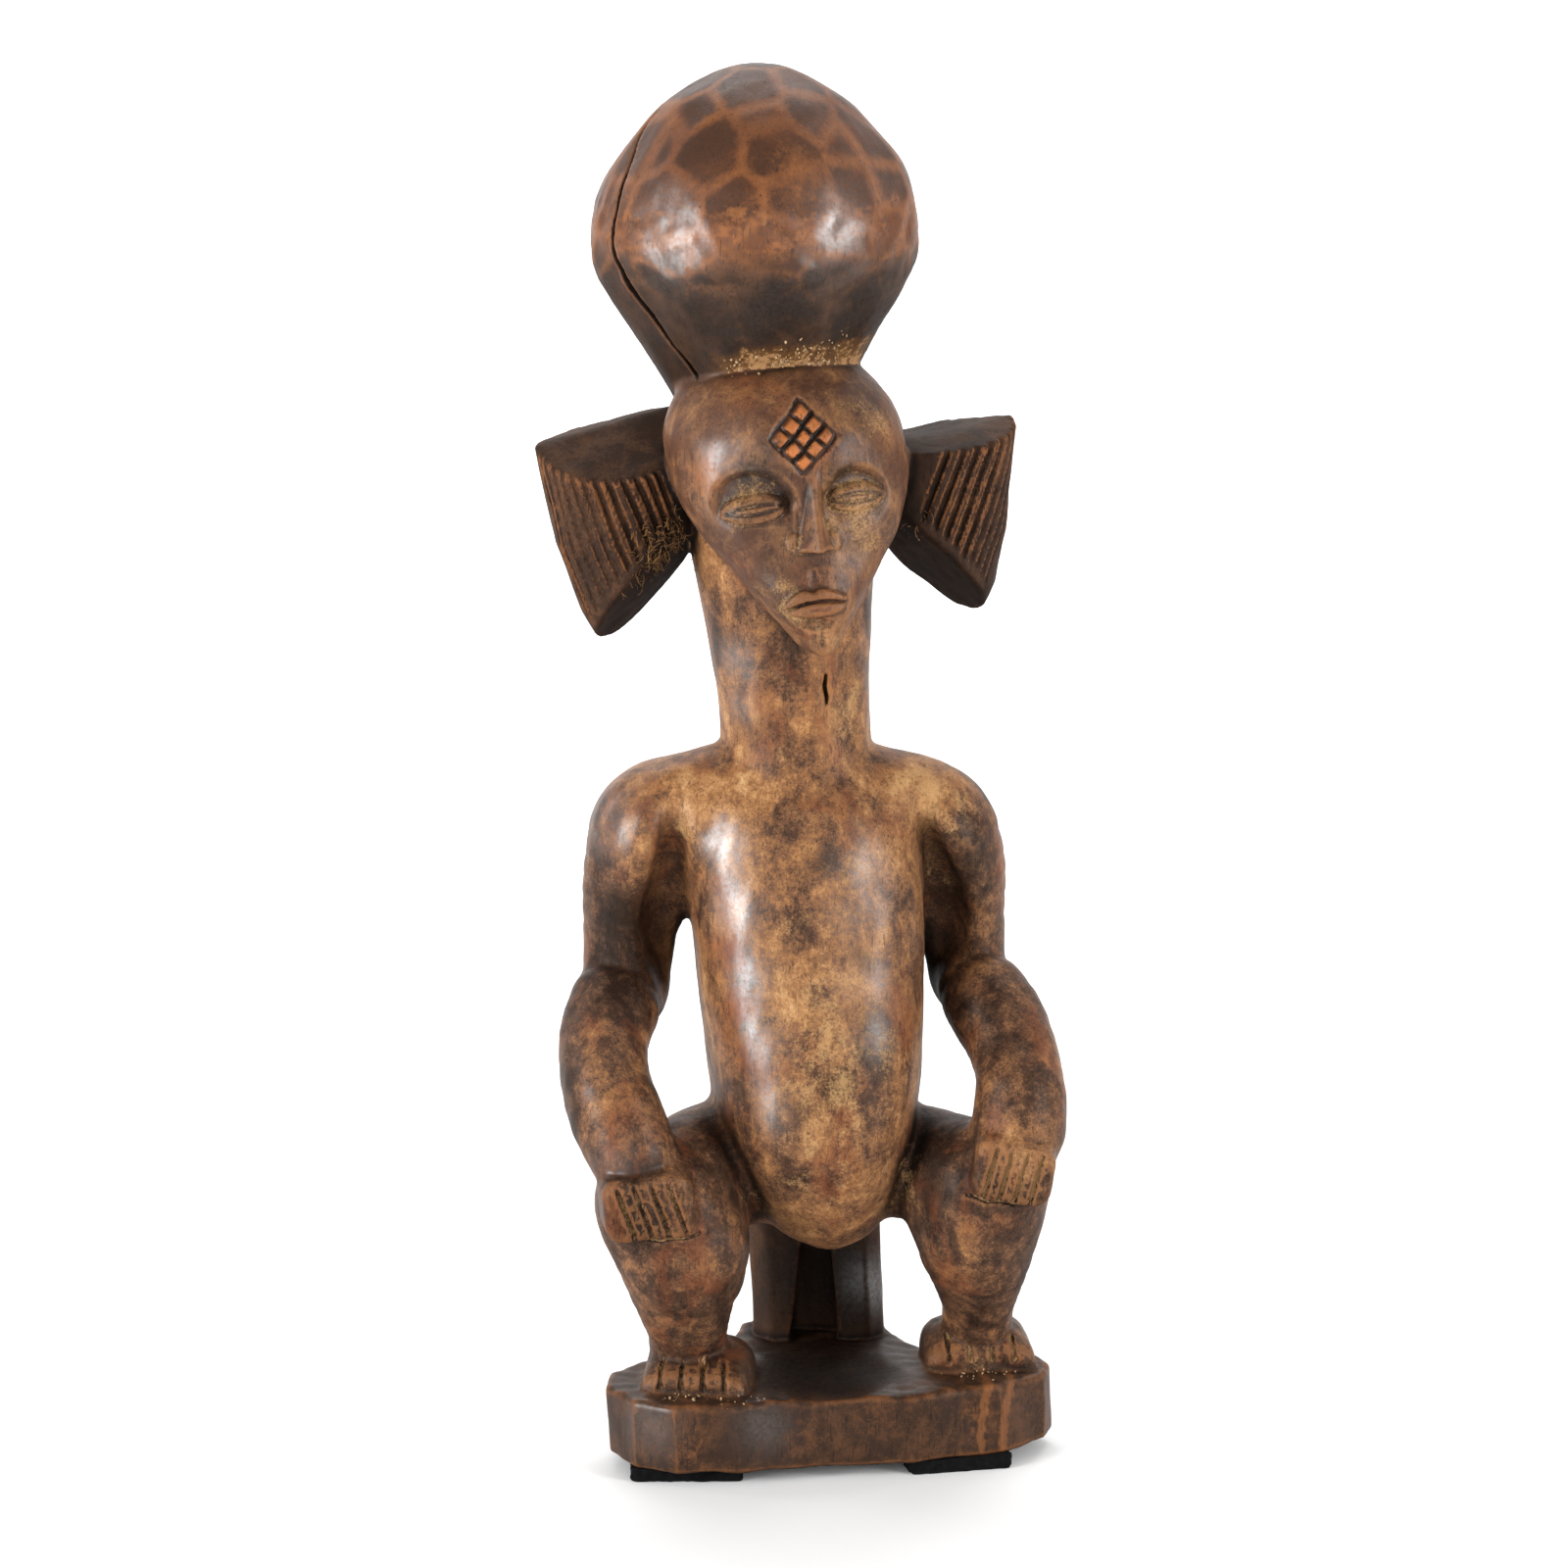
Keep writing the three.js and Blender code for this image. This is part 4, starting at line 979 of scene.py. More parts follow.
def in_bunches(points, work, width=24.0):
    """Works on neighbouring points together, so that the forms far from them are left out."""
    cell = np.floor(points / width).astype(np.int64)
    key = (cell[:, 0] * 1000 + cell[:, 1]) * 1000 + cell[:, 2]
    order = np.argsort(key, kind="stable")
    starts = np.flatnonzero(np.diff(key[order])) + 1
    out = None
    for bunch in np.split(order, starts):
        answer = work(*points[bunch].T)
        if out is None:
            out = np.zeros((len(points),) + answer.shape[1:], np.float32)
        out[bunch] = answer
    return out


def slope_and_bend(points, reach):
    """Outward direction at each point, and how strongly the surface curves there: ridges above 0."""
    arm = reach / math.sqrt(3)

    def work(x, y, z):
        around = [figure(x + arm * a, y + arm * b, z + arm * c, near=12) for a, b, c in CORNERS]
        here = figure(x, y, z, near=12)
        slope = sum(value[:, None] * corner for value, corner in zip(around, CORNERS))
        slope /= np.maximum(np.linalg.norm(slope, axis=1, keepdims=True), 1e-6)
        bend = (sum(around) / 4 - here) * 6 / reach**2
        return np.concatenate([slope, bend[:, None], here[:, None]], 1)

    return in_bunches(points, work)


def shelter(points, ways, reach):
    """How much of the space in front of each point is taken up within this reach, 0 to 1."""
    ahead = (points + ways * reach).astype(np.float32)
    field = in_bunches(ahead, lambda x, y, z: figure(x, y, z, near=reach + 4))
    return np.clip(1 - field / reach, 0, 1)


# Zones of the finish, and the forms that make each. The limbs and the hands are in none.
ZONES = {
    "knot": ["topknot"],
    "head": ["head"],
    "lobe": ["right_lobe", "left_lobe"],
    "trunk": ["torso", "column", "buttocks", "yoke"],
    "seat": ["seat"],
    "base": ["base"],
}


def zone_shares(points):
    """How far each point belongs to each zone of the carving."""
    owners = {form: k for k, forms in enumerate(ZONES.values()) for form in forms}

    def work(x, y, z):
        nearest = np.full((len(ZONES) + 1, len(x)), 30.0, np.float32)
        low = np.array([x.min(), y.min(), z.min()]) - 6
        high = np.array([x.max(), y.max(), z.max()]) + 6
        for name, (form, _) in FORMS.items():
            if out_of_reach(form, low, high):
                continue
            k = owners.get(name, len(ZONES))
            nearest[k] = np.minimum(nearest[k], form(x, y, z))
        share = np.exp(-(nearest - nearest.min(0)) / 0.7)
        return (share / share.sum(0)).T

    return in_bunches(points, work)


# Where the wood is dusted, worn bare, stained or painted with shade: [x, y, z, radius, strength] in the
# figure's own frame.
PATCHES = {
    "dusty": [
        (-14, -32, 279, 12, 0.9), (15, -33, 279, 11, 0.9), (-10, -35, 262, 7, 0.4),
        (-7, -39, 251, 7, 0.6), (-4, -41, 257.5, 4.5, 0.6), (-2, -40, 249.5, 3.5, 0.8),
        (4, -38, 245, 5, 0.4), (-8, -39, 258, 6, 0.35), (-3, -40, 268, 6, 0.7), (20, -27, 270, 13, 0.7),
        (10, -37, 276, 7, 0.6), (23, -25, 301, 11, 0.9), (14, -32, 306, 8, 0.4), (6, -36, 245, 8, 0.6),
        (14, -14, 218, 12, 0.9), (24, -14, 196, 10, 0.6), (36, -8, 196, 13, 0.9),
        (-33, -15, 183, 10, 0.8), (45, -12, 187, 10, 0.8), (-36, -8, 170, 8, 0.5),
        (36, -8, 168, 8, 0.5), (-5, -18, 206, 6, 0.6), (-52, -43, 70, 7, 0.5), (-6, -28, 185, 22, 0.3),
        (6, -30, 170, 24, 0.5), (-8, -36, 140, 24, 0.45), (6, -38, 128, 24, 0.6),
        (-6, -40, 110, 24, 0.5), (5, -40, 98, 20, 0.45), (2, -34, 78, 16, 0.35),
        (24, -20, 120, 16, 0.7), (-38, -6, 262, 11, 0.6), (-36, -8, 250, 9, 0.6), (38, -8, 270, 8, 0.6),
        (-50, -6, 165, 13, 0.5), (50, -6, 160, 14, 0.5), (-52, -50, 84, 10, 0.15),
        (53, -48, 94, 12, 0.5), (54, -42, 106, 9, 0.5), (-56, -34, 112, 12, 0.3),
        (-42, -38, 60, 12, 0.3), (46, -36, 66, 12, 0.4), (46, -22, 44, 9, 0.3), (44, -20, 26, 8, 0.3),
        (-50, -12, 178, 8, 0.5), (-24, -24, 78, 14, 0.4), (26, -20, 80, 14, 0.4),
    ],
    "bare": [
        (-24, -32, 288, 9, 0.9), (24, -25, 297, 9, 0.8), (0.8, -38, 297, 8, 0.7), (4, -42, 262, 6, 0.5),
        (-30, -16, 176, 11, 0.4), (-27, -22, 150, 10, 0.6), (-27, -26, 128, 12, 0.7),
        (-26, -30, 104, 10, 0.4), (40, -34, 17, 13, 0.35), (6, -30, 371, 13, 0.6),
        (-10, -40, 14, 15, 0.35), (-44, -41, 12, 9, 0.5), (10, -39, 18, 9, 0.4),
        (-36, -22, 352, 14, 0.5), (36, -22, 352, 14, 0.4), (-2, -36, 352, 14, 0.5),
        (-20, -10, 232, 12, 0.3), (-4, -42, 84, 8, 0.3),
    ],
    # Dark grime, and painted shade under the brows and the nose tip, at the eyes' inner corners, in the
    # armpits, where the lobes meet the head, between the belly and the thighs, in the seat's hollow and on
    # the base under the figure.
    "soot_and_shade": [
        (-52, -10, 160, 9, 0.5), (-4, -36, 300, 8, 0.25), (-8, -36, 288, 6, 0.6), (9, -37, 288, 6, 0.5),
        (-5, -34, 336, 14, 0.65), (6, -32, 332, 10, 0.3), (-14, -26, 313, 11, 0.3),
        (-24, -26, 330, 14, 0.4), (-39, 0, 168, 13, 0.3), (-42, 2, 152, 13, 0.4),
        (-41, 2, 140, 10, 0.5), (38, 0, 168, 13, 0.3), (-40, -2, 254, 7, 1.0), (40, 2, 154, 12, 0.4),
        (38, 4, 142, 9, 0.5), (0.5, -43, 265.5, 3, 0.9), (0, -43, 254.8, 3.5, 0.4),
        (13.5, -35, 286, 5, 0.4), (-14, -33, 287, 6, 0.5), (-11.6, -38, 288.6, 6, 0.7),
        (-4, -38, 282, 4.5, 0.9), (4, -38, 283, 3.5, 0.7), (14, -35, 288.5, 5, 0.6),
        (0.5, -41, 262.5, 3, 0.35), (-7, -38, 297, 5, 0.5), (-54, -10, 160, 7, 0.6),
        (8, -37, 300, 5, 0.5), (-50, -20, 72, 10, 0.3), (0, -12, 22, 30, 1.0), (3, 20, 45, 24, 0.85),
        (-36, -20, 48, 12, 0.5), (36, -18, 52, 12, 0.6), (16, -36, 132, 8, 0.6), (2, -40, 116, 8, 0.6),
        (14, -34, 150, 8, 0.5), (3, -30, 178, 7, 0.6), (-8, -40, 108, 7, 0.5), (10, -30, 190, 7, 0.5),
        (-6, -40, 250, 4, 0.3), (-36, -7, 266, 12, 1.0), (-32, -4, 254, 10, 0.9),
        (36, -6, 272, 11, 1.0), (32, -4, 262, 9, 0.9), (-30, -38, 17, 10, 0.4), (28, -34, 82, 10, 0.5),
        (-26, -34, 82, 10, 0.5), (-14, -12, 212, 9, 0.4),
    ],
    # Brown stain; down the front of the neck below the chin it also paints the chin's shadow.
    "umber_and_shade": [
        (-12, -16, 203, 7, 0.2), (-6, -26, 185, 9, 0.9), (-19, -9, 230, 8, 0.45),
        (-14, -33, 283.5, 5, 0.7), (15, -33, 284, 4, 0.4), (-13, -33, 262, 9, 0.5),
        (0, -40, 260, 8, 1.0), (-42, -30, 30, 9, 0.7), (-4, -38, 90, 8, 0.5), (0, -42, 255.5, 4, 0.6),
        (-54, -9, 160, 8, 0.7), (58, -35, 121, 8, 0.5), (8, -28, 177, 7, 0.6), (-4, -31, 160, 8, 0.8),
        (-3, -38, 125, 9, 0.9), (-2, -36, 142, 7, 0.5), (4, -38, 116, 9, 0.6), (-28, -28, 112, 9, 0.7),
        (-28, -24, 132, 7, 0.5), (-6, -17, 229, 10, 1.0), (-23, -6, 248, 10, 0.8),
        (42, -10, 168, 11, 1.0), (-50, -8, 153, 13, 1.0), (-56, -6, 142, 10, 0.9),
        (-56, -8, 163, 11, 1.0), (-54, -48, 84, 11, 0.8), (-2, -17, 236, 8, 1.0), (0, -17, 221, 8, 0.8),
        (-20, -6, 238, 9, 0.6), (50, -46, 86, 8, 0.5), (-36, -33, 90, 11, 1.0), (34, -33, 90, 10, 1.0),
        (32, -33, 74, 9, 1.0), (-28, -26, 76, 9, 0.8), (-38, -36, 52, 11, 0.9), (35, -24, 50, 9, 0.8),
        (18, -33, 120, 8, 0.4), (49, -20, 134, 9, 0.9), (-53, -20, 131, 9, 0.7),
        (-10, -39, 100, 7, 0.4), (14, -36, 96, 7, 0.4), (12, -30, 163, 6, 0.4),
    ],
    "rusty": [
        (-24, -23, 168, 8, 0.6), (-24, -27, 152, 8, 1.0), (-23, -30, 137, 8, 1.0),
        (-22, -33, 122, 7, 0.8), (-12, -17, 208, 9, 0.7), (-26, -34, 98, 7, 0.6),
        (-10, -33, 290, 7, 0.6), (25, -24, 288, 8, 0.6), (0, -43, 270, 4, 0.7), (-40, -10, 206, 9, 0.4),
        (30, -40, 17, 14, 0.8), (-36, -44, 15, 10, 0.7), (-6, -42, 12, 12, 0.6), (8, -18, 226, 7, 0.5),
        (0, -40, 260, 8, 0.5), (-12, -28, 309, 12, 0.5), (52, -44, 98, 8, 0.5), (-4, -32, 350, 16, 0.8),
    ],
    "glossy": [
        (-23, -22, 180, 9, 0.9), (-21, -27, 164, 9, 1.0), (-19, -30, 146, 9, 1.0),
        (-17, -33, 128, 9, 1.0), (-16, -36, 110, 9, 0.7), (12, -28, 176, 8, 0.6),
        (11, -31, 162, 9, 0.7), (11, -33, 144, 9, 0.6), (-17, -35, 296, 11, 0.5),
        (-48, -3, 194, 12, 0.35), (-30, -26, 357, 15, 0.52), (14, -32, 359, 15, 0.65),
        (-60, -28, 116, 10, 0.6), (-58, -40, 96, 8, 0.6), (-4, -9, 22, 20, 0.8), (16, 14, 40, 9, 0.9),
        (-53, -38, 17, 10, 0.4), (-22, -41, 17, 9, 0.5), (-18, -11, 232, 7, 0.8),
        (-17, -11, 219, 6, 0.6), (-55, -6, 186, 10, 0.8), (-60, -18, 124, 9, 0.7),
        (13, -35, 128, 8, 0.5),
    ],
}


def patch_strength(points, patches):
    """How strongly a kind of patch covers each point; patches that overlap never pass 1."""
    left = np.ones(len(points))
    for x, y, z, radius, strength in patches:
        apart = ((points - (x, y, z)) ** 2).sum(1) / radius**2
        left *= 1 - strength * np.exp(-1.4 * apart)
    return 1 - left


def foot_dust(points, knot):
    """The topknot's foot, where it stands on the head: 1 at the joint, fading upwards."""
    apart = np.full(len(points), 30.0)
    near = (knot > 0.3) & (points[:, 2] > 300) & (points[:, 2] < 345)
    apart[near] = FORMS["head"][0](*points[near].T.astype(np.float32))
    front = ramp(5, -10, points[:, 1]) * ramp(-26, -12, points[:, 0])
    apart = np.maximum(apart, 0)
    return (0.25 * np.exp(-apart / 0.8) + 0.55 * np.exp(-apart / 18)) * front


# Where the carving is fine, as boxes in the figure's own frame: face, lobes, hands, feet.
FINE_BOXES = [
    ([-32, -60, 236], [32, -14, 309]), ([-76, -20, 224], [-38, 26, 298]), ([36, -20, 224], [76, 26, 304]),
    ([-66, -62, 70], [-36, -38, 96]), ([38, -60, 80], [66, -36, 102]),
    ([-60, -48, 23], [-24, -12, 36]), ([26, -30, 23], [62, -4, 38]),
]


def thinned(points, quads):
    """Fewer faces: the plain parts first, and then, more gently, the finely carved ones."""
    rough = new_object("rough_carving", mesh_from("rough_carving", points, quads))
    for share, in_fine in ((PLAIN_SHARE, False), (FINE_SHARE, True)):
        here = vertex_places(rough.data)
        fine_here = np.zeros(len(here), bool)
        for low, high in FINE_BOXES:
            fine_here |= np.all((here > low) & (here < high), axis=1)
        chosen = fine_here if in_fine else ~fine_here
        group = rough.vertex_groups.new(name="chosen")
        group.add(np.flatnonzero(chosen).tolist(), 1.0, "REPLACE")
        fewer = rough.modifiers.new("fewer", "DECIMATE")
        fewer.vertex_group = group.name
        fewer.ratio = 1 - float(chosen.mean()) * (1 - share)
        mesh = baked(rough)
        rough.modifiers.remove(fewer)
        rough.vertex_groups.remove(group)
        rough.data = mesh
    bpy.data.objects.remove(rough)
    return mesh


def carve():
    """The whole figure as one mesh, with what the wood's finish needs to know kept at its points."""
    field, low = sample_field(STEP)
    points, quads = surface_net(field, low, STEP)
    mesh = thinned(points, quads)
    points = vertex_places(mesh)
    found = slope_and_bend(points, 0.4)
    points = points - found[:, :3] * np.clip(found[:, 4:5], -0.4, 0.4)
    ways = found[:, :3]
    edge = slope_and_bend(points, 1.2)[:, 3]
    hollow = (shelter(points, ways, 2.5) + shelter(points, ways, 6.0) + shelter(points, ways, 13.0)) / 3
    kept = {"edge": edge, "hollow": hollow}
    shares = zone_shares(points)
    for k, name in enumerate(ZONES):
        kept[name] = shares[:, k]
    x, y, z = points.T
    on_knot = kept["knot"] > 0.05
    gap = np.zeros(len(points), np.float32)
    gap[on_knot] = FORMS["topknot"][0].gap(x[on_knot], y[on_knot], z[on_knot])
    kept["ridge"] = np.exp(-gap / 0.75) * on_knot * (0.15 + 0.85 * ramp(326, 350, z))
    kept["core"] = ramp(0.12, 0.95, gap) * (0.55 + 0.45 * ramp(350, 360, z))
    kept["belt"] = kept["knot"] * ramp(338, 347, z) * ramp(368, 358, z) * ramp(8, -14, y)
    kept["under"] = ramp(-0.1, -0.7, ways[:, 2])
    kept["legs"] = (1 - kept["trunk"] - kept["base"] - kept["seat"]) * ramp(100, 82, z)
    u, _, w = FORMS["head"][0].local(x, y, z)
    front = kept["head"] * (y < -20)
    kept["scar_line"] = front * lozenge_grooves(u, w)
    kept["scar_square"] = front * lozenge_squares(u, w)
    kept["lid_line"] = front * sum(eye_lines(u, w, eye) for eye in EYES)
    kept["cone"] = kept["knot"] * ramp(354, 340, z)
    reed = np.zeros(len(points), np.float32)
    for name in ("right_lobe", "left_lobe"):
        form_here = FORMS[name][0]
        near = (kept["lobe"] > 0.05) & (np.sign(x) == form_here.side)
        reed[near] = form_here.reeding(x[near], y[near], z[near])
    kept["reed"] = reed
    for name, patches in PATCHES.items():
        kept[name] = patch_strength(points, patches)
    kept["foot"] = foot_dust(points, kept["knot"])
    mesh.vertices.foreach_set("co", to_frame(points.astype(float)).astype(np.float32).ravel())
    for name, values in kept.items():
        layer = mesh.attributes.new(name, "FLOAT", "POINT")
        layer.data.foreach_set("value", np.ascontiguousarray(values, np.float32))
    mesh.update()
    mesh.shade_smooth()
    return mesh


class Graph:
    """Short words for building a tree of shader nodes."""

    def __init__(self, tree):
        self.tree = tree

    def node(self, kind, **settings):
        made = self.tree.nodes.new(kind)
        for key, value in settings.items():
            setattr(made, key, value)
        return made

    def feed(self, socket, value):
        if isinstance(value, bpy.types.NodeSocket):
            self.tree.links.new(value, socket)
        elif value is not None:
            socket.default_value = value

    def math(self, operation, a, b=None, clamp=False):
        made = self.node("ShaderNodeMath", operation=operation, use_clamp=clamp)
        self.feed(made.inputs[0], a)
        self.feed(made.inputs[1], b)
        return made.outputs[0]

    def add(self, *terms):
        total = terms[0]
        for term in terms[1:]:
            total = self.math("ADD", total, term)
        return total

    def times(self, a, b):
        return self.math("MULTIPLY", a, b)

    def most(self, a, b):
        return self.math("MAXIMUM", a, b)

    def rest(self, a):
        return self.math("SUBTRACT", 1.0, a)

    def between(self, value, low, high, to_low=0.0, to_high=1.0):
        made = self.node("ShaderNodeMapRange", interpolation_type="SMOOTHSTEP")
        for socket, v in zip(made.inputs[:5], (value, low, high, to_low, to_high)):
            self.feed(socket, v)
        return made.outputs[0]

    def mix(self, share, a, b):
        made = self.node("ShaderNodeMix", data_type="RGBA", clamp_factor=True)
        self.feed(made.inputs["Factor"], share)
        self.feed(made.inputs[6], a)
        self.feed(made.inputs[7], b)
        return made.outputs[2]

    def tones(self, value, stops):
        """A colour read off a row of (place, colour) stops."""
        made = self.node("ShaderNodeValToRGB")
        bar = made.color_ramp.elements
        for place, colour in stops[1:-1]:
            bar.new(place)
        for element, (place, colour) in zip(bar, stops):
            element.position, element.color = place, (*colour, 1)
        self.feed(made.inputs[0], value)
        return made.outputs[0]

    def mapping(self, vector, scale, turn=(0, 0, 0)):
        made = self.node("ShaderNodeMapping")
        self.feed(made.inputs["Vector"], vector)
        made.inputs["Scale"].default_value = scale
        made.inputs["Rotation"].default_value = turn
        return made.outputs[0]

    def noise(self, vector, scale, detail=2.0, rough=0.5, twist=0.0):
        made = self.node("ShaderNodeTexNoise")
        self.feed(made.inputs["Vector"], vector)
        self.feed(made.inputs["Scale"], scale)
        made.inputs["Detail"].default_value = detail
        made.inputs["Roughness"].default_value = rough
        made.inputs["Distortion"].default_value = twist
        return made.outputs[0]

    def kept(self, name):
        return self.node("ShaderNodeAttribute", attribute_name=name).outputs["Fac"]

    def group(self, tree, **values):
        made = self.node("ShaderNodeGroup", node_tree=tree)
        for socket in made.inputs:
            key = socket.name.lower().replace(" ", "_")
            if key in values:
                self.feed(socket, values[key])
        return made.outputs


def effect(name, inputs, outputs):
    """An empty node group with named sockets: inputs are (name, kind, default)."""
    tree = bpy.data.node_groups.new(name, "ShaderNodeTree")
    for label, kind, default in inputs:
        socket = tree.interface.new_socket(label, in_out="INPUT", socket_type=kind)
        if default is not None:
            socket.default_value = default
    for label in outputs:
        tree.interface.new_socket(label, in_out="OUTPUT", socket_type="NodeSocketFloat")
    graph = Graph(tree)
    return graph, graph.node("NodeGroupInput").outputs, graph.node("NodeGroupOutput").inputs


NUMBER, PLACE = "NodeSocketFloat", "NodeSocketVector"
# Width of a growth ring, in millimetres.
RING_WIDTH = 6.5


def grain_effect():
    """Upright fibres, short open pores and broad uneven tone."""
    g, given, out = effect(
        "timber_grain", [("Place", PLACE, None), ("Fibre Size", NUMBER, 1.0)], ["Fibre", "Pores", "Tone"]
    )
    place = given["Place"]
    size = g.math("DIVIDE", 1.0, given["Fibre Size"])
    fibre = g.noise(g.mapping(place, (900, 900, 60)), size, 3, 0.6, 0.4)
    g.feed(out["Fibre"], g.between(fibre, 0.3, 0.7))
    pores = g.noise(g.mapping(place, (1700, 1700, 190)), size, 1, 0.5)
    g.feed(out["Pores"], g.between(pores, 0.62, 0.72))
    g.feed(out["Tone"], g.between(g.noise(g.mapping(place, (75, 75, 34)), 1.0, 4, 0.6, 0.6), 0.32, 0.68))
    return g.tree


def settling_effect():
    """Dust that lies thick where the amount is high and breaks into specks where it is low."""
    g, given, out = effect(
        "settled_dust",
        [("Place", PLACE, None), ("Amount", NUMBER, 0.5), ("Speck Size", NUMBER, 1.0)],
        ["Cover", "Crust"],
    )
    size = g.math("DIVIDE", 1.0, given["Speck Size"])
    cloud = g.noise(g.mapping(given["Place"], (150, 150, 110)), size, 5, 0.62, 0.3)
    specks = g.noise(given["Place"], g.times(size, 1500.0), 2, 0.7)
    level = g.add(given["Amount"], g.times(cloud, 0.9), g.times(specks, 0.55))
    g.feed(out["Cover"], g.between(level, 1.02, 1.32))
    g.feed(out["Crust"], g.between(level, 1.25, 1.6))
    return g.tree


def wear_and_shade_effect():
    """Ridges rubbed bare, and sheltered hollows darkened as grime and painted shade, both with broken
    borders.
    """
    g, given, out = effect(
        "hand_wear",
        [("Place", PLACE, None), ("Edge", NUMBER, 0.0), ("Hollow", NUMBER, 0.0), ("Reach", NUMBER, 1.0)],
        ["Rubbed", "Dark"],
    )
    border = g.noise(given["Place"], 260.0, 4, 0.6)
    ragged = g.math("SUBTRACT", border, 0.5)
    edge = g.add(g.times(given["Edge"], given["Reach"]), g.times(ragged, 0.35))
    g.feed(out["Rubbed"], g.between(edge, 0.22, 0.75))
    # Dark: painted shade in sheltered hollows, with some grime.
    g.feed(out["Dark"], g.between(g.add(given["Hollow"], g.times(ragged, 0.4)), 0.3, 0.85))
    return g.tree


GRAIN = grain_effect()
SETTLING = settling_effect()
WEAR_AND_SHADE = wear_and_shade_effect()

WOOD = {
    "deep": (0.005, 0.003, 0.002, 1),
    "dark": (0.030, 0.015, 0.009, 1),
    "brown": (0.085, 0.038, 0.018, 1),
    "chestnut": (0.130, 0.046, 0.018, 1),
    "rust": (0.190, 0.056, 0.020, 1),
    "plum": (0.095, 0.037, 0.019, 1),
    "honey": (0.120, 0.050, 0.012, 1),
    "amber": (0.290, 0.108, 0.034, 1),
    "copper": (0.430, 0.135, 0.035, 1),
    "gold": (0.420, 0.235, 0.105, 1),
    "dust": (0.460, 0.270, 0.115, 1),
}
# The body's tones from stained to worn pale: (place on the scale, colour).
SKIN = [
    (0.0, (0.020, 0.010, 0.006)), (0.28, (0.070, 0.034, 0.019)), (0.46, (0.165, 0.076, 0.036)),
    (0.62, (0.265, 0.122, 0.047)), (0.80, (0.390, 0.200, 0.082)), (1.0, (0.530, 0.320, 0.150)),
]


def new_finish(name):
    """A new material with its graph, its shader and the object's own coordinates."""
    material = bpy.data.materials.new(name)
    material.use_nodes = True
    g = Graph(material.node_tree)
    place = g.node("ShaderNodeTexCoord").outputs["Object"]
    return material, g, material.node_tree.nodes["Principled BSDF"], place


def roughen(g, shader, height, strength, distance):
    """Small relief that only the light sees, as deep as the distance in metres."""
    bump = g.node("ShaderNodeBump")
    bump.inputs["Strength"].default_value = strength
    bump.inputs["Distance"].default_value = distance
    g.feed(bump.inputs["Height"], height)
    g.feed(shader.inputs["Normal"], bump.outputs[0])


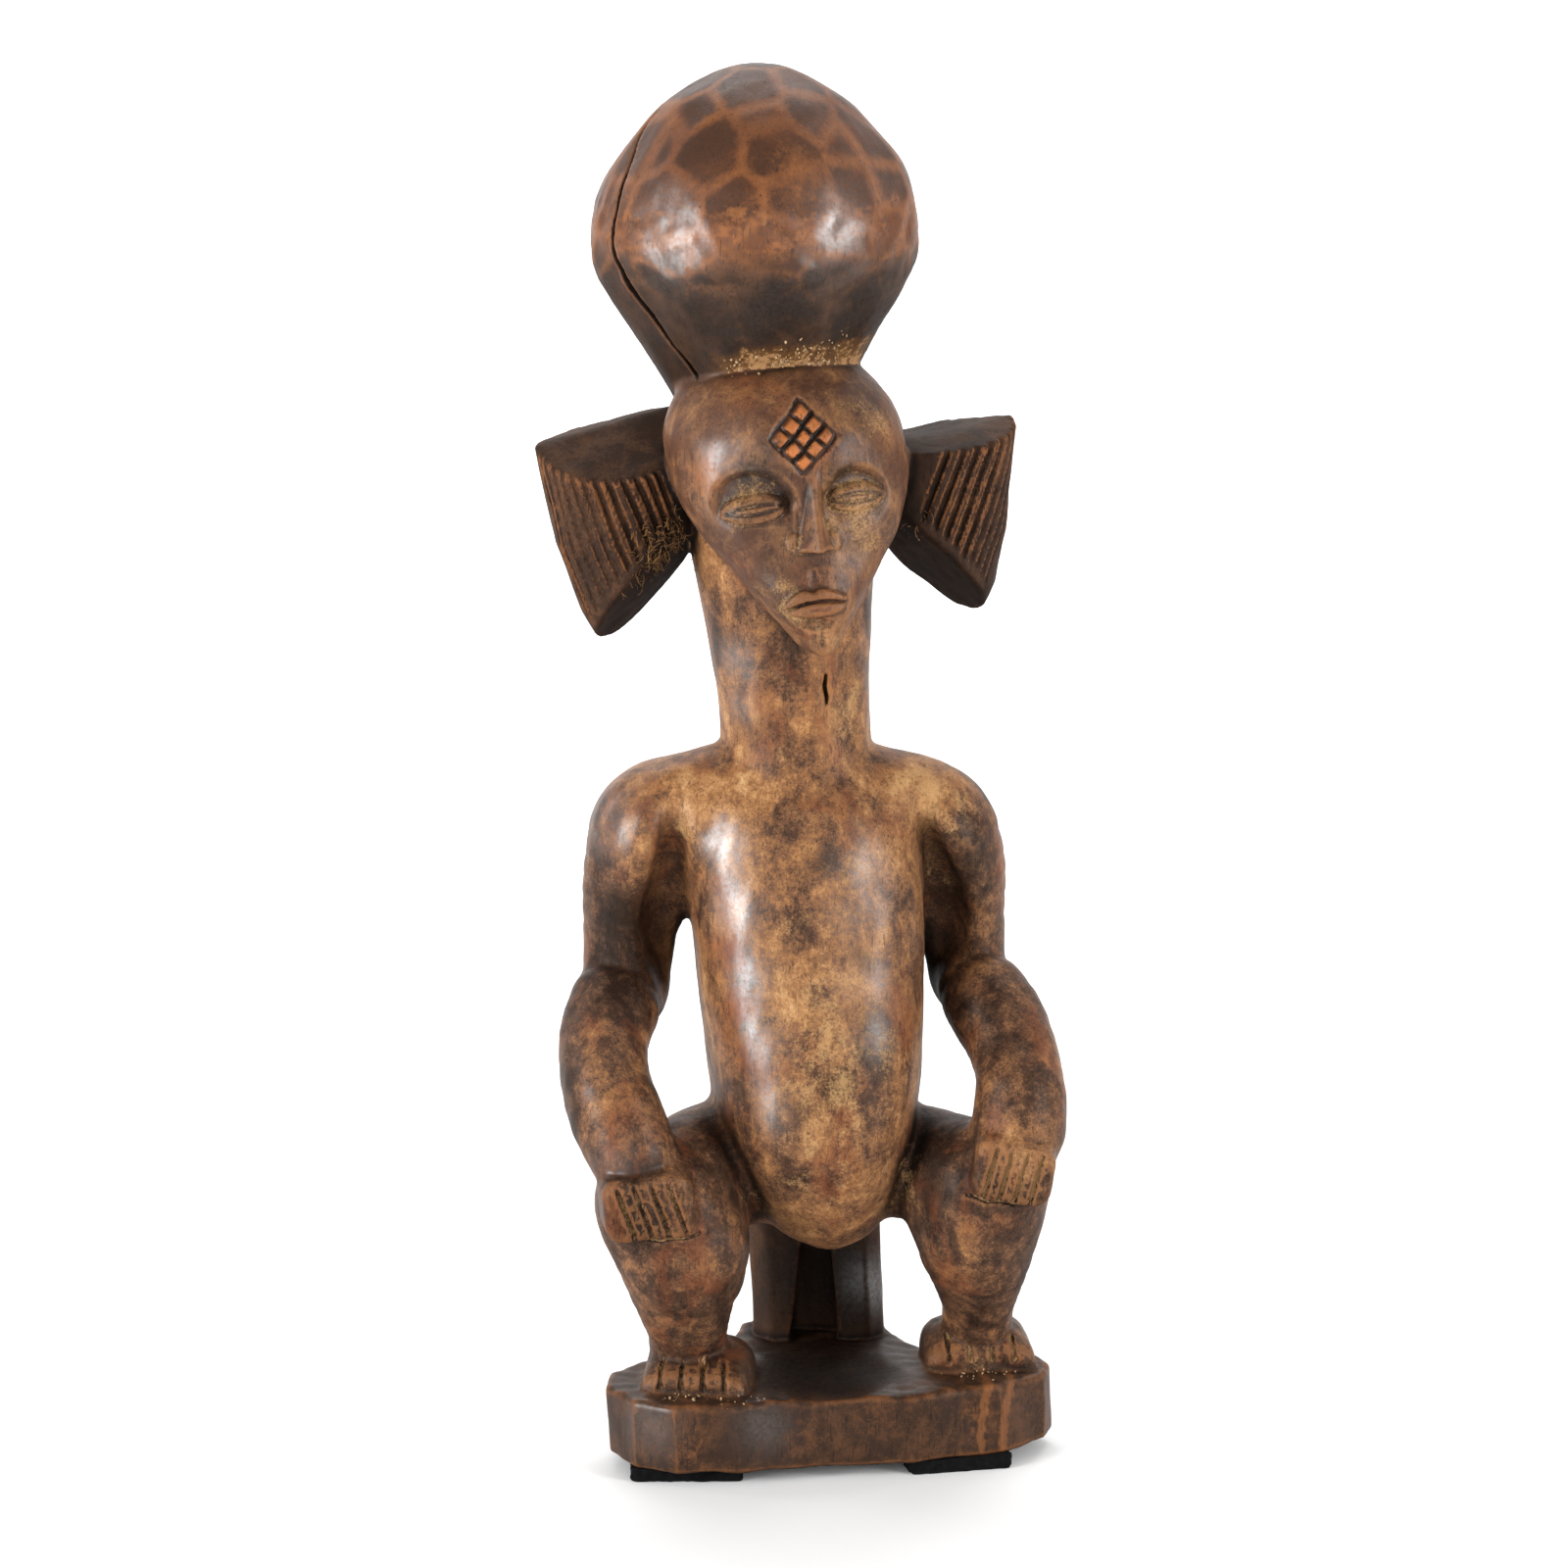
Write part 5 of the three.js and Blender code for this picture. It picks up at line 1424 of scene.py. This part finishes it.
def wood_finish():
    """The whole carving's wood, its zones told apart by what is kept at the points of the mesh."""
    material, g, shader, place = new_finish("old_carved_wood")
    knot, head, lobe, trunk = (g.kept(n) for n in ("knot", "head", "lobe", "trunk"))
    seat, base, ridge, cone = (g.kept(n) for n in ("seat", "base", "ridge", "cone"))
    edge, hollow, foot, under = (g.kept(n) for n in ("edge", "hollow", "foot", "under"))
    dusty, bare, soot_and_shade, glossy = (g.kept(n) for n in ("dusty", "bare", "soot_and_shade", "glossy"))
    umber_and_shade, rusty, core, belt = (g.kept(n) for n in ("umber_and_shade", "rusty", "core", "belt"))
    dark_parts = g.add(lobe, seat, base)

    grain = g.group(GRAIN, place=place, fibre_size=1.0)
    wear_and_shade = g.group(WEAR_AND_SHADE, place=place, edge=edge, hollow=hollow, reach=1.0)
    tone = grain["Tone"]
    fleck = g.noise(place, 800.0, 3, 0.7)
    loose = g.math("SUBTRACT", fleck, 0.5)
    speck = g.math("SUBTRACT", g.noise(place, 1900.0, 1, 0.6), 0.5)
    ragged = g.math("SUBTRACT", g.noise(place, 260.0, 4, 0.65), 0.5)
    blotch = g.noise(g.mapping(place, (110, 110, 75)), 1.0, 5, 0.62, 0.8)
    cloud = g.noise(g.mapping(place, (42, 42, 30)), 1.0, 2, 0.5, 0.4)

    # The body: worn tan under umber that breaks up into specks; the limbs and the head are browner.
    uneven_tone = g.add(
        g.times(g.math("SUBTRACT", cloud, 0.5), 0.9),
        g.times(g.math("SUBTRACT", blotch, 0.5), -1.2),
        g.times(ragged, 0.7),
        g.times(loose, 0.6),
        g.times(speck, 0.45),
    )
    level = g.add(0.33, uneven_tone, g.times(trunk, 0.17), g.times(head, 0.06), g.times(dusty, 0.12))
    # Umber patches darken the body: stain, and on the neck below the chin a painted shadow of the chin.
    level = g.add(level, g.times(umber_and_shade, -0.28), g.times(g.kept("legs"), -0.08))
    body = g.tones(level, SKIN)
    body = g.mix(g.between(g.add(tone, g.times(loose, 0.6)), 0.6, 1.2, 0, 0.6), body, WOOD["rust"])
    face = g.mix(g.between(g.add(blotch, g.times(loose, 0.5)), 0.34, 0.66, 0.2, 0.7), body, WOOD["plum"])
    colour = g.mix(g.times(head, g.rest(g.times(dusty, 0.8))), body, face)
    redder = g.between(g.add(rusty, g.times(ragged, 0.9), g.times(loose, 0.5)), 0.25, 0.9, 0, 0.75)
    colour = g.mix(redder, colour, WOOD["rust"])

    # Fine ridges of the face, the hands and the feet are rubbed golden, and the creases between are painted
    # darker: partly grime, partly painted shade.
    skin_only = g.rest(g.math("ADD", dark_parts, knot, clamp=True))
    fretted = g.add(edge, g.times(ragged, 0.5), g.times(loose, 0.4))
    golden = g.times(g.between(fretted, 0.15, 0.6), g.between(dusty, 0.0, 0.8, 0.1, 0.38))
    colour = g.mix(g.times(golden, skin_only), colour, WOOD["gold"])
    colour = g.mix(g.times(g.between(fretted, -0.08, -0.5, 0, 0.55), skin_only), colour, WOOD["dark"])

    # The topknot: dark islands in the facets, a dark cone below.
    island = g.add(g.noise(place, 60.0, 2, 0.5), g.times(loose, 0.45), g.times(speck, 0.25))
    sunk = g.add(g.times(core, 0.8), g.times(g.math("SUBTRACT", island, 0.5), -1.3), g.times(ragged, 0.3))
    facet = g.mix(g.between(sunk, 0.28, 1.0, 0, 0.74), WOOD["chestnut"], WOOD["dark"])
    flames = g.noise(g.mapping(place, (150, 150, 260)), 1.0, 3, 0.6)
    ember = g.between(g.add(flames, g.times(loose, 0.5)), 0.5, 0.72)
    facet = g.mix(g.times(g.times(belt, ember), 0.7), facet, WOOD["amber"])
    colour = g.mix(knot, colour, facet)
    lean = g.add(island, g.times(ragged, 0.5), g.times(core, -0.15))
    flank = g.mix(g.between(lean, 0.34, 0.68), WOOD["dark"], WOOD["brown"])
    colour = g.mix(cone, colour, flank)
    shade = g.mix(g.between(g.add(0.5, uneven_tone), 0.3, 0.85), WOOD["dark"], WOOD["brown"])
    colour = g.mix(dark_parts, colour, shade)

    # Growth rings in the front of the base, about a heart near its left end.
    flat = g.mapping(place, (1, 0, 0.6))
    heart = ((62 + AXIS[0] - LEAN * 9) * MM, 0, 0.6 * 9 * MM)
    apart = g.node("ShaderNodeVectorMath", operation="DISTANCE")
    g.feed(apart.inputs[0], flat)
    apart.inputs[1].default_value = heart
    apart = g.add(apart.outputs["Value"], g.times(ragged, 0.004))
    ring = g.between(g.math("SINE", g.times(apart, 2 * math.pi / (RING_WIDTH * MM))), 0.1, 0.9)
    ring = g.times(g.times(ring, g.between(apart, 0.008, 0.012)), g.between(apart, 0.030, 0.020))
    ring = g.times(ring, g.times(base, 0.45))
    colour = g.mix(ring, colour, WOOD["amber"])

    # Worn ridges: the topknot's facet borders, the lobes' reeds, edges and rubbed patches.
    broken = g.between(g.noise(place, 38.0, 2, 0.5), 0.36, 0.56, 0.3, 1.0)
    soft_net = g.times(g.between(g.add(ridge, g.times(ragged, 1.0), g.times(loose, 0.6)), 0.2, 1.15), broken)
    reeds = g.times(lobe, g.between(g.add(edge, g.times(ragged, 0.8), g.times(loose, 0.4)), 0.75, 1.5))
    rims = g.times(g.add(base, seat), g.between(g.add(edge, g.times(ragged, 0.8)), 0.4, 1.2))
    patch = g.between(g.add(bare, g.times(ragged, 0.9), g.times(loose, 0.7)), 0.25, 0.9)
    worn = g.times(wear_and_shade["Rubbed"], 0.35)
    net = g.times(g.times(knot, soft_net), 0.64)
    rubbed = g.most(net, g.times(reeds, 0.5))
    rubbed = g.most(rubbed, g.most(g.times(patch, 0.6), g.times(worn, g.rest(lobe))))
    rubbed = g.most(rubbed, g.times(rims, 0.35))
    colour = g.mix(rubbed, colour, WOOD["amber"])
    fresh = g.between(g.add(loose, ragged), -0.3, 0.1, 0.5, 1.0)
    colour = g.mix(g.times(g.kept("scar_square"), fresh), colour, WOOD["copper"])

    # Painted shade and dark grime: in sheltered hollows, on undersides, in listed patches, in the lozenge's
    # grooves and along the eyes' lines.
    stain_and_shade = g.between(g.add(soot_and_shade, g.times(ragged, 0.7), g.times(loose, 0.6)), 0.2, 0.8)
    dark = g.most(g.times(stain_and_shade, 0.88), g.times(wear_and_shade["Dark"], 0.94))
    # Undersides of the lobes, the seat, the base and the topknot's cone are darkened: painted shade.
    dark = g.most(dark, g.times(g.times(under, g.add(dark_parts, cone)), 0.75))
    dark = g.most(dark, g.times(g.kept("scar_line"), 1.1))
    dark = g.most(dark, g.times(g.kept("lid_line"), 0.95))
    colour = g.mix(dark, colour, WOOD["deep"])
    colour = g.mix(g.times(grain["Pores"], 0.5), colour, WOOD["deep"])
    colour = g.mix(g.times(grain["Fibre"], 0.2), colour, WOOD["dark"])

    colour = g.mix(g.between(g.add(foot, g.times(ragged, 0.6)), 0.1, 0.6, 0, 0.7), colour, WOOD["honey"])

    # Golden dust: in creases, in patches, and in a crumbling line at the topknot's foot.
    open_skin = g.math("SUBTRACT", g.rest(dark_parts), g.times(head, 0.75))
    crease = g.times(g.between(edge, -0.25, -1.1), open_skin)
    amount = g.add(g.times(dusty, 0.44), g.times(hollow, 0.12), g.times(crease, 0.34))
    patchy = g.add(0.58, g.times(ragged, 2.6), g.times(loose, 2.2))
    amount = g.add(amount, g.times(foot, patchy))
    clear = g.times(knot, g.between(foot, 0.02, 0.3, 1, 0))
    amount = g.add(amount, g.times(dark_parts, -0.13), g.times(clear, -0.4))
    amount = g.add(amount, g.times(g.kept("scar_line"), -0.5))
    dust = g.group(SETTLING, place=place, amount=amount, speck_size=1.0)
    settled = g.mix(g.between(foot, 0.1, 0.5), WOOD["dust"], WOOD["gold"])
    colour = g.mix(g.times(dust["Cover"], 0.62), colour, settled)
    mottle = g.between(g.add(ragged, loose, g.times(speck, 0.7)), -0.04, 0.2, 0, 0.7)
    colour = g.mix(g.times(mottle, g.times(head, g.between(dusty, 0.1, 0.6))), colour, WOOD["dark"])
    g.feed(shader.inputs["Base Color"], colour)

    rough = g.add(0.36, g.times(fleck, 0.16), g.times(dust["Cover"], 0.25))
    rough = g.add(rough, g.times(hollow, 0.2), g.times(under, 0.35))
    g.feed(shader.inputs["Roughness"], g.add(rough, g.times(g.add(lobe, cone, seat), 0.22)))
    shader.inputs["Specular IOR Level"].default_value = 0.12
    polish = g.add(glossy, g.times(knot, 0.1), g.times(head, 0.08))
    polish = g.times(polish, g.rest(g.times(dust["Cover"], 0.7)))
    g.feed(shader.inputs["Coat Weight"], g.times(polish, g.between(fleck, 0.8, 0.3, 0.35, 1.0)))
    shader.inputs["Coat Roughness"].default_value = 0.34
    shader.inputs["Coat IOR"].default_value = 2.15
    height = g.add(
        g.times(grain["Fibre"], -0.12),
        g.times(grain["Pores"], -0.4),
        g.times(dust["Crust"], 0.5),
        g.times(fleck, 0.6),
        g.times(blotch, 0.5),
    )
    roughen(g, shader, height, 0.5, 0.0003)
    return material


def felt_finish():
    """Black felt, a little dusty."""
    material, g, shader, place = new_finish("black_felt")
    fuzz = g.noise(place, 2400.0, 3, 0.7, 1.5)
    clumps = g.noise(place, 420.0, 3, 0.6)
    colour = g.mix(g.between(clumps, 0.35, 0.7), (0.0015, 0.0015, 0.0017, 1), (0.0045, 0.0045, 0.005, 1))
    dust = g.group(SETTLING, place=place, amount=0.16, speck_size=1.4)
    colour = g.mix(g.times(dust["Cover"], 0.25), colour, WOOD["brown"])
    g.feed(shader.inputs["Base Color"], colour)
    g.feed(shader.inputs["Roughness"], g.add(0.85, g.times(fuzz, 0.15)))
    shader.inputs["Specular IOR Level"].default_value = 0.15
    roughen(g, shader, g.add(fuzz, g.times(clumps, 0.6)), 0.8, 0.0004)
    return material


def litter_finish(name, dark, pale):
    """Dry crumbs or strands, uneven between two colours."""
    material, g, shader, place = new_finish(name)
    grain = g.group(GRAIN, place=place, fibre_size=0.5)
    tone = g.add(g.noise(place, 620.0, 2, 0.6), g.times(grain["Fibre"], 0.15))
    colour = g.mix(g.between(tone, 0.35, 0.75), dark, pale)
    g.feed(shader.inputs["Base Color"], colour)
    g.feed(shader.inputs["Roughness"], g.add(0.8, g.times(grain["Tone"], 0.15)))
    shader.inputs["Specular IOR Level"].default_value = 0.15
    roughen(g, shader, g.add(tone, grain["Pores"]), 0.6, 0.0002)
    return material


def felt_pad(facts):
    """A felt rectangle with soft, slightly frayed sides, pressed flat against the base."""
    corner, across = 1.6, 28
    turn = math.radians(facts["turn"])
    half = (facts["width"] / 2 - corner, facts["depth"] / 2 - corner)
    fray = Ripple(3.0, int(abs(facts["x"])) + 30)
    sag = Ripple(9.0, int(abs(facts["x"])) + 60)
    ring = []
    for k, (sx, sy) in enumerate(((1, 1), (-1, 1), (-1, -1), (1, -1))):
        for t in np.linspace(0, math.pi / 2, 6):
            bearing = k * math.pi / 2 + t
            x = sx * half[0] + corner * math.cos(bearing)
            y = sy * half[1] + corner * math.sin(bearing)
            ring.append((x, y))
    ring = np.array(ring + ring[:1])
    along = np.concatenate([[0], np.cumsum(np.hypot(*np.diff(ring, axis=0).T))])
    stops = np.linspace(0, along[-1], 6 * across, endpoint=False)
    ring = np.stack([np.interp(stops, along, ring[:, n]) for n in (0, 1)], 1)
    levels = [(0.0, 0.95), (0.15, 0.99), (0.9, 1.0), (2.0, 0.992), (3.1, 1.0), (3.9, 0.995), (4.0, 0.95)]
    levels += [(4.0, share) for share in (0.6, 0.25)]
    points = []
    for z, share in levels:
        rim = ring * share
        push = 0.22 * fray(rim[:, 0], rim[:, 1], z * 1.3) - 0.1
        out = rim / np.linalg.norm(rim, axis=1, keepdims=True)
        rim = rim + out * np.minimum(push, 0.1)[:, None] * (share > 0.9)
        tall = np.full(len(rim), z) + (0.08 * sag(rim[:, 0], rim[:, 1], 0) if 0 < z < 4 else 0)
        points.append(np.column_stack([rim, tall]))
    count = len(ring)
    points = np.concatenate(points)
    faces = [
        (k * count + i, k * count + (i + 1) % count, (k + 1) * count + (i + 1) % count, (k + 1) * count + i)
        for k in range(len(levels) - 1)
        for i in range(count)
    ]
    c, s = math.cos(turn), math.sin(turn)
    x = facts["x"] + points[:, 0] * c - points[:, 1] * s
    y = facts["y"] + points[:, 0] * s + points[:, 1] * c
    placed = np.stack([x + AXIS[0], y + AXIS[1], points[:, 2]], 1) * MM
    mesh = bpy.data.meshes.new("felt_pad")
    first = list(range(count))[::-1]
    last = [(len(levels) - 1) * count + i for i in range(count)]
    mesh.from_pydata(placed.tolist(), [], faces + [first, last])
    mesh.shade_smooth()
    return mesh


def scatter_tree(name, body):
    """Copies of one body stood on every point of a mesh, turned and sized at random, as real faces."""
    tree = bpy.data.node_groups.new(name, "GeometryNodeTree")
    face = tree.interface
    sockets = {}
    for label, kind in (
        ("Geometry", "NodeSocketGeometry"), ("Smallest", "NodeSocketFloat"), ("Largest", "NodeSocketFloat"),
        ("Seed", "NodeSocketInt"), ("Material", "NodeSocketMaterial"),
    ):
        sockets[label] = face.new_socket(label, in_out="INPUT", socket_type=kind).identifier
    face.new_socket("Geometry", in_out="OUTPUT", socket_type="NodeSocketGeometry")
    g = Graph(tree)
    given, out = g.node("NodeGroupInput").outputs, g.node("NodeGroupOutput").inputs
    on = g.node("GeometryNodeInstanceOnPoints")
    g.feed(on.inputs["Points"], given["Geometry"])
    g.feed(on.inputs["Instance"], body(g))
    turn = g.node("FunctionNodeRandomValue", data_type="FLOAT_VECTOR")
    turn.inputs["Max"].default_value = (6.283, 6.283, 6.283)
    g.feed(turn.inputs["Seed"], given["Seed"])
    g.feed(on.inputs["Rotation"], turn.outputs["Value"])
    size = g.node("FunctionNodeRandomValue", data_type="FLOAT")
    for wanted, label in (("Min", "Smallest"), ("Max", "Largest")):
        g.feed([i for i in size.inputs if i.name == wanted and i.enabled][0], given[label])
    g.feed(size.inputs["Seed"], given["Seed"])
    g.feed(on.inputs["Scale"], [o for o in size.outputs if o.enabled][0])
    real = g.node("GeometryNodeRealizeInstances")
    g.feed(real.inputs[0], on.outputs[0])
    coat = g.node("GeometryNodeSetMaterial")
    g.feed(coat.inputs["Geometry"], real.outputs[0])
    g.feed(coat.inputs["Material"], given["Material"])
    g.feed(out[0], coat.outputs[0])
    return tree, sockets


def crumb_body(g):
    """A small lump one millimetre across, pushed out of round."""
    ball = g.node("GeometryNodeMeshIcoSphere")
    ball.inputs["Radius"].default_value = 0.0005
    ball.inputs["Subdivisions"].default_value = 2
    squash = g.node("GeometryNodeTransform")
    g.feed(squash.inputs["Geometry"], ball.outputs[0])
    squash.inputs["Scale"].default_value = (1.0, 0.7, 0.55)
    return squash.outputs[0]


def fibre_body(g):
    """A thin bent fibre four millimetres long."""
    line = g.node("GeometryNodeCurveQuadraticBezier")
    line.inputs["Resolution"].default_value = 6
    line.inputs["Start"].default_value = (-0.002, 0, 0)
    line.inputs["Middle"].default_value = (0.0004, 0.0013, 0.0006)
    line.inputs["End"].default_value = (0.0019, -0.0004, 0)
    ring = g.node("GeometryNodeCurvePrimitiveCircle")
    ring.inputs["Resolution"].default_value = 4
    ring.inputs["Radius"].default_value = 0.00013
    tube = g.node("GeometryNodeCurveToMesh")
    g.feed(tube.inputs["Curve"], line.outputs[0])
    g.feed(tube.inputs["Profile Curve"], ring.outputs[0])
    return tube.outputs[0]


def scattered(name, points, body, smallest, largest, seed, material):
    """A mesh of small bodies at the given points of the frame."""
    tree, sockets = scatter_tree(name + "_scatter", body)
    mesh = bpy.data.meshes.new(name + "_points")
    mesh.from_pydata([tuple(p) for p in points], [], [])
    source = new_object(name + "_points", mesh)
    spread = source.modifiers.new("scatter", "NODES")
    spread.node_group = tree
    spread[sockets["Smallest"]] = smallest
    spread[sockets["Largest"]] = largest
    spread[sockets["Seed"]] = seed
    spread[sockets["Material"]] = material
    made = baked(source)
    bpy.data.objects.remove(source)
    piece = new_object(name, made)
    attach(piece, "root")
    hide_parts("carved_figure")
    return piece


def places_on(mesh, weight, count, seed, sink):
    """A fixed random choice of vertices by weight, moved a little way along their normals."""
    rng = np.random.default_rng(seed)
    chosen = rng.choice(len(weight), count, p=weight / weight.sum())
    normals = np.empty(len(mesh.vertices) * 3, np.float32)
    mesh.vertices.foreach_get("normal", normals)
    jitter = rng.uniform(-0.4, 0.4, (count, 3)) * MM
    return vertex_places(mesh)[chosen] + normals.reshape(-1, 3)[chosen] * sink * MM + jitter


def kept_values(mesh, name):
    """What the mesh keeps under this name at its vertices."""
    values = np.empty(len(mesh.vertices), np.float32)
    mesh.attributes[name].data.foreach_get("value", values)
    return values


# Places of loose dirt as [x, y, z, radius, share] in the figure's own frame.
TOE_BEDS = [
    (-47, -33, 24.5, 3.5, 1.0), (-40, -35, 24.5, 3.5, 1.0), (-33, -37, 24.5, 3.5, 0.8),
    (-24, -36, 24.5, 4, 0.5), (41, -21, 24.5, 4, 0.5), (50, -20, 24.5, 3.5, 0.4),
]
JOINT_BEDS = [
    (1, -22.5, 319.7, 4, 1.0), (7, -22, 320.3, 4, 1.0), (13, -19, 320.4, 3.5, 1.0),
    (-7, -23.5, 319, 4, 0.45), (-15, -21, 317.3, 3.5, 0.4), (4, -22, 323, 3, 0.3), (12, -19, 324, 3, 0.4),
]
FIBRE_BEDS = [(-35, -8, 264, 6, 1.0), (-32, -7, 258, 5, 1.0), (-37, -9, 252, 6, 0.7), (36, -8, 270, 4, 0.2)]


def bed_weight(points, beds):
    """How thick the dirt lies at each point, from soft round beds."""
    total = 0
    for x, y, z, radius, share in beds:
        total = total + share * np.exp(-(((points - (x, y, z)) ** 2).sum(1)) / radius**2)
    return total


def from_frame(places):
    """From the shared frame in metres back to the figure's own upright frame in millimetres."""
    back = places.astype(float) / MM
    back[:, 0] += LEAN * back[:, 2] - AXIS[0]
    back[:, 1] -= AXIS[1]
    return back


carving = new_object("carving", carve())
carving.data.materials.append(wood_finish())
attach(carving, "root")
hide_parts("carved_figure")

crumbs = litter_finish("dust_crumbs", WOOD["brown"], (0.50, 0.35, 0.20, 1))
strands = litter_finish("dry_fibres", WOOD["dark"], (0.26, 0.135, 0.050, 1))
upright = from_frame(vertex_places(carving.data))
level_ground = kept_values(carving.data, "base") * ramp(21.5, 23, upright[:, 2])
toe_dirt = bed_weight(upright, TOE_BEDS) * level_ground
foot_dirt = bed_weight(upright, JOINT_BEDS) * kept_values(carving.data, "foot")
loose_dirt = toe_dirt / toe_dirt.sum() * 0.42 + foot_dirt / foot_dirt.sum() * 0.58
scattered("crumbs", places_on(carving.data, loose_dirt, 210, 4, 0.1), crumb_body, 0.3, 1.0, 8, crumbs)
fibre_places = places_on(carving.data, bed_weight(upright, FIBRE_BEDS), 240, 6, 0.3)
scattered("fibres", fibre_places, fibre_body, 0.4, 1.2, 9, strands)

felt = felt_finish()
for name, facts in PADS.items():
    pad = new_object("pad_" + name, felt_pad(facts))
    pad.data.materials.append(felt)
    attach(pad, "root")
    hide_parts("felt_pad_" + name)

# The camera aims at this place, from these degrees and this far, at so many pixels a millimetre.
SENSOR = 36.0
AIM = (-12.5, 0.0, 194.0)
VIEW = {"azimuth": -6.0, "elevation": 12.0, "distance": 1500.0, "scale": 3.6, "picture": 1600.0}
camera = bpy.data.objects.new("camera", bpy.data.cameras.new("camera"))
bpy.context.scene.collection.objects.link(camera)
a, e = math.radians(VIEW["azimuth"]), math.radians(VIEW["elevation"])
back = Vector((math.sin(a) * math.cos(e), -math.cos(a) * math.cos(e), math.sin(e)))
aim = Vector((AIM[0] + AXIS[0], AIM[1] + AXIS[1], AIM[2]))
camera.location = (aim + back * VIEW["distance"]) * MM
camera.rotation_mode = "QUATERNION"
camera.rotation_quaternion = (-back).to_track_quat("-Z", "Y")
camera.data.sensor_width = SENSOR
camera.data.lens = VIEW["scale"] * VIEW["distance"] / VIEW["picture"] * SENSOR
camera.data.clip_start = 0.05
camera.data.clip_end = 50
bpy.context.scene.camera = camera


def backdrop():
    """A white floor that curves up behind into a wall, as one sheet."""
    rows = [(-5.0, 0.0), (2.5, 0.0)]
    rows += [(2.5 + 1.5 * math.sin(t), 1.5 - 1.5 * math.cos(t)) for t in np.linspace(0.15, math.pi / 2, 10)]
    rows.append((4.0, 6.0))
    points = [(x, y, z) for y, z in rows for x in (-7.0, 7.0)]
    faces = [(2 * i, 2 * i + 1, 2 * i + 3, 2 * i + 2) for i in range(len(rows) - 1)]
    mesh = bpy.data.meshes.new("backdrop")
    mesh.from_pydata(points, [], faces)
    mesh.shade_smooth()
    made = new_object("backdrop", mesh)
    paper, g, shader, place = new_finish("studio_paper")
    white = g.mix(g.noise(place, 3.0), (0.86, 0.86, 0.86, 1), (0.88, 0.88, 0.88, 1))
    g.feed(shader.inputs["Base Color"], white)
    shader.inputs["Roughness"].default_value = 0.9
    made.data.materials.append(paper)


backdrop()

world = bpy.data.worlds.new("studio")
bpy.context.scene.world = world
world.use_nodes = True
world.node_tree.nodes["Background"].inputs["Color"].default_value = (1, 1, 1, 1)
world.node_tree.nodes["Background"].inputs["Strength"].default_value = 0.36
bpy.context.scene.view_settings.view_transform = "Standard"


def softbox(name, place, aim_at, size, power):
    """A rectangular lamp, in metres and watts."""
    lamp = bpy.data.lights.new(name, "AREA")
    lamp.shape = "RECTANGLE"
    lamp.size, lamp.size_y = size
    lamp.energy = power
    made = bpy.data.objects.new(name, lamp)
    made.location = place
    made.rotation_mode = "QUATERNION"
    made.rotation_quaternion = (Vector(aim_at) - Vector(place)).to_track_quat("-Z", "Y")
    bpy.context.scene.collection.objects.link(made)


for name, facts in {
    "left_softbox": ((-1.15, -0.62, 0.42), (0, 0, 0.22), (0.46, 0.8), 20),
    "right_softbox": ((1.1, -0.8, 0.5), (0, 0, 0.22), (0.5, 0.7), 15),
    "front_fill": ((-0.1, -2.4, 0.9), (0, 0, 0.2), (1.2, 1.0), 7),
    "floor_light": ((0.2, 1.5, 2.2), (0, 1.2, 0), (2.4, 1.6), 45),
    "wall_light_left": ((-2.2, 0.9, 1.6), (-0.8, 4.0, 1.2), (1.2, 1.6), 90),
    "wall_light_right": ((2.2, 0.9, 1.6), (0.8, 4.0, 1.2), (1.2, 1.6), 90),
}.items():
    softbox(name, *facts)
